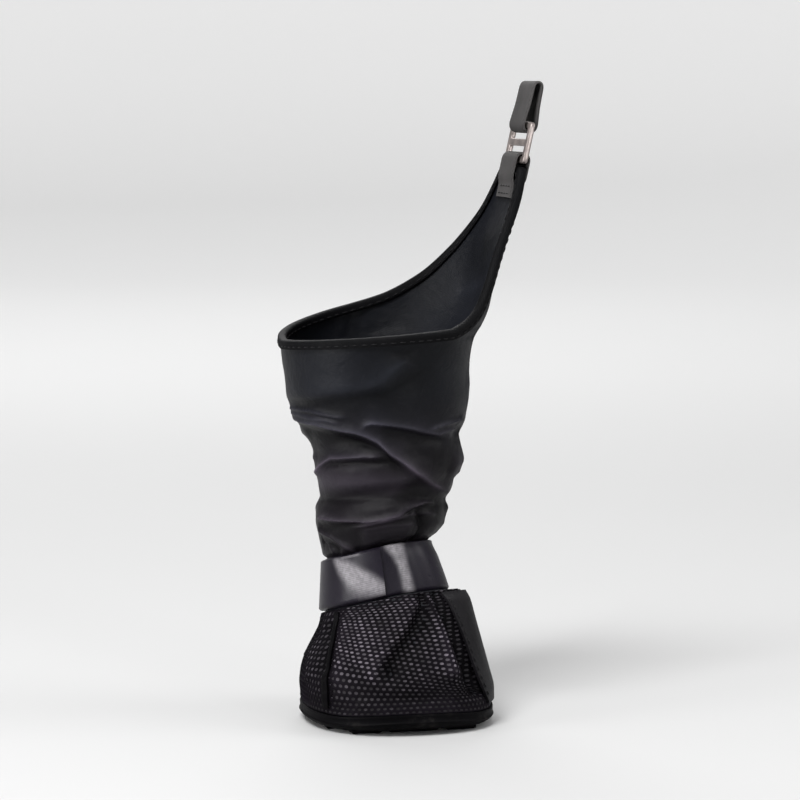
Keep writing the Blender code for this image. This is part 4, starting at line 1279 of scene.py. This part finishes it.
class BOOT_OT_collar(Operator):
    """Builds the tape folded over the top edge, with its stitches"""

    bl_idname = "boot.collar"
    bl_label = "Collar Binding"

    def execute(self, context):
        half = SHAFT_WALL / 2 + GAP + BINDING_WALL
        work, across, share = flat_sheet(420, 36, 0.250, 0.014)
        top, out, up = edge_frames(all_round(across))
        side, rise = folded_profile(share, half, BINDING_WALL, BINDING_DROP, GAP + BINDING_WALL)
        move_to(work, top + out * side[:, None] + up * rise[:, None])
        close_shell(work, fill=False)
        make_piece(work, "binding", "collar_binding", "binding", sharp=0)
        top, out, up = edge_frames(np.linspace(-180.0, 180.0, 721))
        sew("binding_stitches", "collar_binding", context.scene.boot_leg,
            [(top + out * way * (half + 0.00002) - up * (BINDING_DROP * 0.62), out * way)
             for way in (1, -1)])
        return {"FINISHED"}


def flap_frame():
    """At the middle of the flap's tip: the matrix of its place, across, out and up."""
    tip = COLLAR_HEIGHT + FLAP_RISE
    ends = leg_points(np.array([tip, tip - TAB_DROP]), TAB_ANGLE, -SHAFT_WALL / 2)
    top, below = map(Vector, ends)
    up = (top - below).normalized()
    across = Vector((0.0, 1.0, 0.0))
    out = across.cross(up).normalized()
    return Matrix.Translation(top) @ Matrix((across, out, up)).transposed().to_4x4()


def bend_round(centre, radius, start, end, steps):
    turns = np.radians(np.linspace(start, end, steps + 1))
    return [*zip(radius * np.cos(turns), centre + radius * np.sin(turns))]


def resample(path, count, closed):
    """Even points along a path, rounded at its corners."""
    if closed:
        path = np.vstack([path, path[:1]])
    run = run_along(path)
    at = np.linspace(0.0, run[-1], count)
    track = np.stack([np.interp(at, run, path[:, axis]) for axis in range(2)], axis=1)
    for _ in range(6):
        if closed:
            around = np.vstack([track[-2], track, track[1]])
            track = (around[:-2] + 2 * around[1:-1] + around[2:]) / 4
        else:
            track[1:-1] = (track[:-2] + 2 * track[1:-1] + track[2:]) / 4
    return track, run[-1]


def webbing_band(name, node, path, closed):
    """A flat woven band that follows a path of (out, up) pairs at the flap's tip."""
    count = 80
    track, run = resample(np.array(path), count, closed)
    work, share, around = flat_sheet(count - 1, 40, run, 2 * WEBBING_WIDTH)
    index = np.rint(share * (count - 1)).astype(int)
    along = np.gradient(track, axis=0)
    if closed:
        along[0] = along[-1] = track[1] - track[-2]
    along = units(along)
    side = np.stack([along[:, 1], -along[:, 0]], axis=1)
    across, off = rounded_profile(around, WEBBING_WIDTH, WEBBING_WALL)
    spot = track[index] + side[index] * (off - WEBBING_WALL / 2)[:, None]
    local = np.column_stack([(across - 0.5) * WEBBING_WIDTH, spot, np.ones(len(spot))])
    move_to(work, (local @ np.array(flap_frame()).T)[:, :3])
    close_shell(work)
    make_piece(work, name, node, "webbing")


class BOOT_OT_hanger(Operator):
    """Builds the webbing tab, the slide and the webbing loop at the flap's tip"""

    bl_idname = "boot.hanger"
    bl_label = "Tab, Slide and Loop"

    def execute(self, context):
        close = SHAFT_WALL / 2 + GAP + WEBBING_WALL / 2
        clear = SHAFT_WALL / 2 + GAP + BINDING_WALL + GAP + WEBBING_WALL / 2
        down = [(close, -TAB_DROP), (close, -2.2 * BINDING_DROP), (clear, -1.3 * BINDING_DROP),
                (clear, 0.0)]
        bend = bend_round(LOWER_BAR_UP, LOOP_RADIUS, -10, 190, 24)
        back = [(-out, up) for out, up in reversed(down)]
        webbing_band("tab_webbing", "flap_tab", down + bend + back, False)
        upper_bar = LOWER_BAR_UP + 2 * (BAR + SLOT)
        top = upper_bar + LOOP_RISE
        fold = 0.62 * LOOP_RADIUS
        out, up = mix(LOOP_RADIUS, fold, 0.8), mix(upper_bar, top, 0.5)
        path = [*bend_round(upper_bar, LOOP_RADIUS, 180, 360, 20), (out, up),
                *bend_round(top, fold, 0, 180, 14), (-out, up)]
        webbing_band("loop_webbing", "webbing_loop", path, True)
        self.slide()
        self.tab_stitches(context.scene.boot_leg, close + WEBBING_WALL / 2)
        return {"FINISHED"}

    def tab_stitches(self, sizes, face):
        """A box of stitches on both faces of the tab."""
        place = flap_frame()
        side = WEBBING_WIDTH / 2 - 0.0014
        low, high = -TAB_DROP + 0.0012, -2.6 * BINDING_DROP
        box = [(-side, high), (-side, low), (side, low), (side, high), (-side, high)]
        lines = []
        for way in (1, -1):
            out = np.array(place.to_3x3() @ Vector((0.0, way, 0.0)))
            corners = [place @ Vector((x, way * (face + 0.00003), z)) for x, z in box]
            for first, last in zip(corners, corners[1:]):
                line = np.array([first.lerp(last, share) for share in np.linspace(0, 1, 30)])
                lines.append((line, np.tile(out, (len(line), 1))))
        sew("tab_stitches", "flap_tab", sizes, lines)

    def slide(self):
        """A plate with two slots and rounded edges."""
        length = 3 * BAR + 2 * SLOT
        width = WEBBING_WIDTH + 2 * GAP + 2 * SLIDE_SIDE
        slot_half = WEBBING_WIDTH / 2 + GAP
        work = bmesh.new()
        bmesh.ops.create_grid(work, x_segments=3, y_segments=5, size=0.5)
        xs = [-width / 2, -slot_half, slot_half, width / 2]
        ys = np.cumsum([-length / 2, BAR, SLOT, BAR, SLOT, BAR])
        for vert in work.verts:
            column, row = round((vert.co.x + 0.5) * 3), round((vert.co.y + 0.5) * 5)
            vert.co = (xs[column], 0.0, ys[row])
        holes = []
        for face in work.faces:
            middle = face.calc_center_median()
            aside = abs(abs(middle.z) - (BAR + SLOT) / 2)
            if abs(middle.x) < slot_half / 2 and aside < BAR / 2:
                holes.append(face)
        bmesh.ops.delete(work, geom=holes, context="FACES")
        made = bmesh.ops.extrude_face_region(work, geom=work.faces[:])
        moved = [item for item in made["geom"] if isinstance(item, bmesh.types.BMVert)]
        bmesh.ops.translate(work, vec=(0.0, SLIDE_THICKNESS, 0.0), verts=moved)
        bmesh.ops.translate(work, vec=(0.0, -SLIDE_THICKNESS / 2, 0.0), verts=work.verts)
        bmesh.ops.recalc_face_normals(work, faces=work.faces)
        corners = []
        for edge in work.edges:
            one, other = (vert.co for vert in edge.verts)
            if ((one - other).xz.length < 1e-6 and abs(abs(one.x) - width / 2) < 1e-6
                    and abs(abs(one.z) - length / 2) < 1e-6):
                corners.append(edge)
        round_edges(work, corners, BAR * 0.7, 5)
        rims = [edge for edge in work.edges if edge.calc_face_angle(0.0) > math.radians(60)]
        round_edges(work, rims, SLIDE_THICKNESS * 0.3, 4)
        middle = LOWER_BAR_UP - BAR / 2 + length / 2
        bmesh.ops.transform(work, matrix=flap_frame() @ Matrix.Translation((0.0, 0.0, middle)),
                            verts=work.verts)
        make_piece(work, "slide", "adjuster", "slide")


class BOOT_OT_sole(Operator):
    """Builds the rubber dish, its side step and its lugs"""

    bl_idname = "boot.sole"
    bl_label = "Sole"

    def execute(self, context):
        work, index, points = dish_shell(200, 0.196, 0.08, DISH_ROWS)
        under = index < ARCHED_ROWS
        points[under, 2] += arch(points[under, 1])
        move_to(work, points)
        close_shell(work)
        self.lugs(work, context.scene.boot_foot.tread_pitch)
        make_piece(work, "sole_dish", "outsole", "rubber", sharp=35)
        return {"FINISHED"}

    def lugs(self, work, pitch):
        """Blocks with fine ribs underneath, all standing on the floor."""
        half_length, groove, half_middle = 0.0034, 0.0026, 0.0075
        top = LUG_HEIGHT + SOLE_THICKNESS / 2
        count = int(2 * half_length / pitch)
        for station, sides in LUG_ROWS:
            y = station * FOOT[3]
            reach = min(self.half_width(y - half_length), self.half_width(y + half_length)) - 0.003
            start = half_middle + groove
            spans = [(-half_middle, half_middle)]
            if sides:
                spans += [(start, reach), (-reach, -start)]
            for left, right in spans:
                x, width = (left + right) / 2, right - left
                self.block(work, (x, y), (width, 2 * half_length), LUG_SINK, top, 0.00025)
                for rib in range(count):
                    at = y + (rib + 0.5 - count / 2) * pitch
                    self.block(work, (x, at), (width - 0.0008, pitch * 0.55), 0.0, 0.0004, 0.00008)

    def block(self, work, middle, size, low, high, edge):
        """A box with rounded edges."""
        place = Matrix.Translation((*middle, (low + high) / 2))
        made = bmesh.ops.create_cube(work, size=1.0,
                                     matrix=place @ Matrix.Diagonal((*size, high - low, 1)))
        edges = list({line for vert in made["verts"] for line in vert.link_edges})
        round_edges(work, edges, edge, 2)

    def half_width(self, y):
        middle_y = mix(FOOT[2], FOOT[3], WIDEST)
        reach = FOOT[3] - middle_y if y > middle_y else middle_y - FOOT[2]
        share = min(1.0, abs(y - middle_y) / reach)
        return FOOT[1] * (1 - share ** FOOT_SQUARE) ** (1 / FOOT_SQUARE)


class BOOT_OT_insole(Operator):
    """Builds the thin foam insole"""

    bl_idname = "boot.insole"
    bl_label = "Insole"

    def execute(self, context):
        inset = STEP_DEPTH + LIP_WALL + GAP + UPPER_WALL + GAP
        rows = [(inset + off, SEAT + up) for off, up in INSOLE_ROWS]
        rows.append((inset, SEAT + INSOLE_WALL / 2))
        rows += [(inset + off, SEAT + (INSOLE_WALL - up)) for off, up in reversed(INSOLE_ROWS)]
        work, _, points = dish_shell(140, 0.16, 0.06, rows)
        move_to(work, points)
        close_shell(work)
        sheet = make_piece(work, "foam_insole", "insole", "foam")
        return {"FINISHED"}


class BOOT_OT_studio(Operator):
    """Builds the pale floor, the soft lights and the camera"""

    bl_idname = "boot.studio"
    bl_label = "Studio"

    def execute(self, context):
        sizes = context.scene.boot_studio
        self.floor(sizes, context.scene.boot_colours.paper)
        world = bpy.data.worlds.new("studio")
        world.use_nodes = True
        background = world.node_tree.nodes["Background"].inputs
        background["Color"].default_value = (1.0, 1.0, 1.0, 1.0)
        background["Strength"].default_value = sizes.world_strength
        context.scene.world = world
        for name, place, size, power in (
                ("key", (-0.62, -0.70, 1.25), (0.6, 0.6), sizes.key_power),
                ("fill", (1.10, -0.35, 0.75), (0.7, 0.9), sizes.fill_power),
                ("rear", (0.10, 1.30, 1.00), (1.1, 0.8), sizes.fill_power * 2.2),
                ("inner_strip", (-0.97, -0.24, 0.21), (0.40, 0.38), sizes.strip_power),
                ("front_strip", (0.36, -1.05, 0.21), (0.10, 0.38), sizes.strip_power * 0.4)):
            data = bpy.data.lights.new(name, "AREA")
            data.shape = "RECTANGLE"
            data.size, data.size_y = size
            data.energy = power
            self.aimed(data, place, (0, 0, 0.08)).visible_camera = False
        data = bpy.data.cameras.new("camera")
        data.lens = sizes.lens
        data.sensor_width = 36.0
        data.clip_start, data.clip_end = 0.01, 20.0
        context.scene.camera = self.aimed(data, sizes.camera_place, sizes.camera_aim)
        context.scene.view_settings.view_transform = "Standard"
        return {"FINISHED"}

    def aimed(self, data, place, target):
        """A light or camera that stands at a place and looks at a target."""
        thing = bpy.data.objects.new(data.name, data)
        thing.location = place
        away = Vector(target) - Vector(place)
        thing.rotation_euler = away.to_track_quat("-Z", "Y").to_euler()
        bpy.context.scene.collection.objects.link(thing)
        return thing

    def floor(self, sizes, colour):
        """A round floor whose edge rises into the backdrop."""
        work = bmesh.new()
        last = work.verts.new((0.0, 0.0, 0.0))
        for out, up in ((1.4, 0.0), (2.0, 0.06), (2.5, 0.30), (2.85, 0.75), (3.0, 1.4), (3.0, 3.2)):
            vert = work.verts.new((out, 0.0, up))
            work.edges.new((last, vert))
            last = vert
        bmesh.ops.spin(work, geom=work.verts[:] + work.edges[:], cent=(0, 0, 0), axis=(0, 0, 1),
                       angle=2 * math.pi, steps=64, use_merge=True)
        bmesh.ops.remove_doubles(work, verts=work.verts, dist=1e-5)
        bmesh.ops.recalc_face_normals(work, faces=work.faces)
        mesh = bpy.data.meshes.new("floor")
        work.to_mesh(mesh)
        work.free()
        mesh.shade_smooth()
        mesh.materials.append(self.paper(sizes, colour))
        floor = bpy.data.objects.new("floor", mesh)
        bpy.context.scene.collection.objects.link(floor)
        finish = floor.modifiers.new("soft", "SUBSURF")
        finish.levels = finish.render_levels = 1

    def paper(self, sizes, colour):
        """Paper that glows a little far from the boot, in the camera's view alone."""
        material, tree, shader, place = new_material("floor_paper", 0.9, 0.2)
        tone = spread(tree, noise(tree, place["Object"], 3.0, 2.0), 0.0, 1.0, 0.99, 1.01)
        seen = add_node(tree, "ShaderNodeLightPath").outputs["Is Camera Ray"]
        thrown, shown = (tuple(c * share for c in colour)
                         for share in (sizes.bounce, sizes.paper_tone))
        base = shaded(tree, blend_colours(tree, seen, thrown, shown), tone)
        tree.links.new(base, shader.inputs["Base Color"])
        shader.inputs["Emission Color"].default_value = (1.0, 1.0, 1.0, 1.0)
        away = add_node(tree, "ShaderNodeVectorMath", {0: place["Object"]}, operation="LENGTH")
        far = spread(tree, away.outputs["Value"], 0.5, 2.6, 0.0, sizes.backdrop_glow,
                     interpolation_type="SMOOTHSTEP")
        tree.links.new(math_node(tree, "MULTIPLY", seen, far), shader.inputs["Emission Strength"])
        return material


class BOOT_PT_sidebar(Panel):
    """Lists the boot's pieces"""

    bl_label = "Dog Boot"
    bl_idname = "BOOT_PT_sidebar"
    bl_space_type = "VIEW_3D"
    bl_region_type = "UI"
    bl_category = "Dog Boot"

    def draw(self, context):
        layout = self.layout
        for operator in OPERATORS:
            layout.operator(operator.bl_idname)
        for group in SIZE_GROUPS:
            box = layout.box()
            settings = getattr(context.scene, group)
            for name in settings.bl_rna.properties.keys():
                if name not in ("rna_type", "name"):
                    box.prop(settings, name)


OPERATORS = (BOOT_OT_leg, BOOT_OT_foot_bag, BOOT_OT_side_panel, BOOT_OT_strap, BOOT_OT_collar,
             BOOT_OT_hanger, BOOT_OT_sole, BOOT_OT_insole, BOOT_OT_studio)
SIZE_GROUPS = {"boot_leg": LegSizes, "boot_foot": FootSizes, "boot_colours": BootColours,
               "boot_studio": StudioSizes}


def register():
    for made in (*SIZE_GROUPS.values(), *OPERATORS, BOOT_PT_sidebar):
        bpy.utils.register_class(made)
    for name, group in SIZE_GROUPS.items():
        setattr(bpy.types.Scene, name, PointerProperty(type=group))


def unregister():
    for name in SIZE_GROUPS:
        delattr(bpy.types.Scene, name)
    for made in (BOOT_PT_sidebar, *reversed(OPERATORS), *SIZE_GROUPS.values()):
        bpy.utils.unregister_class(made)


def main():
    register()
    for operator in OPERATORS:
        group, name = operator.bl_idname.split(".")
        getattr(getattr(bpy.ops, group), name)()


if __name__ == "__main__":
    main()
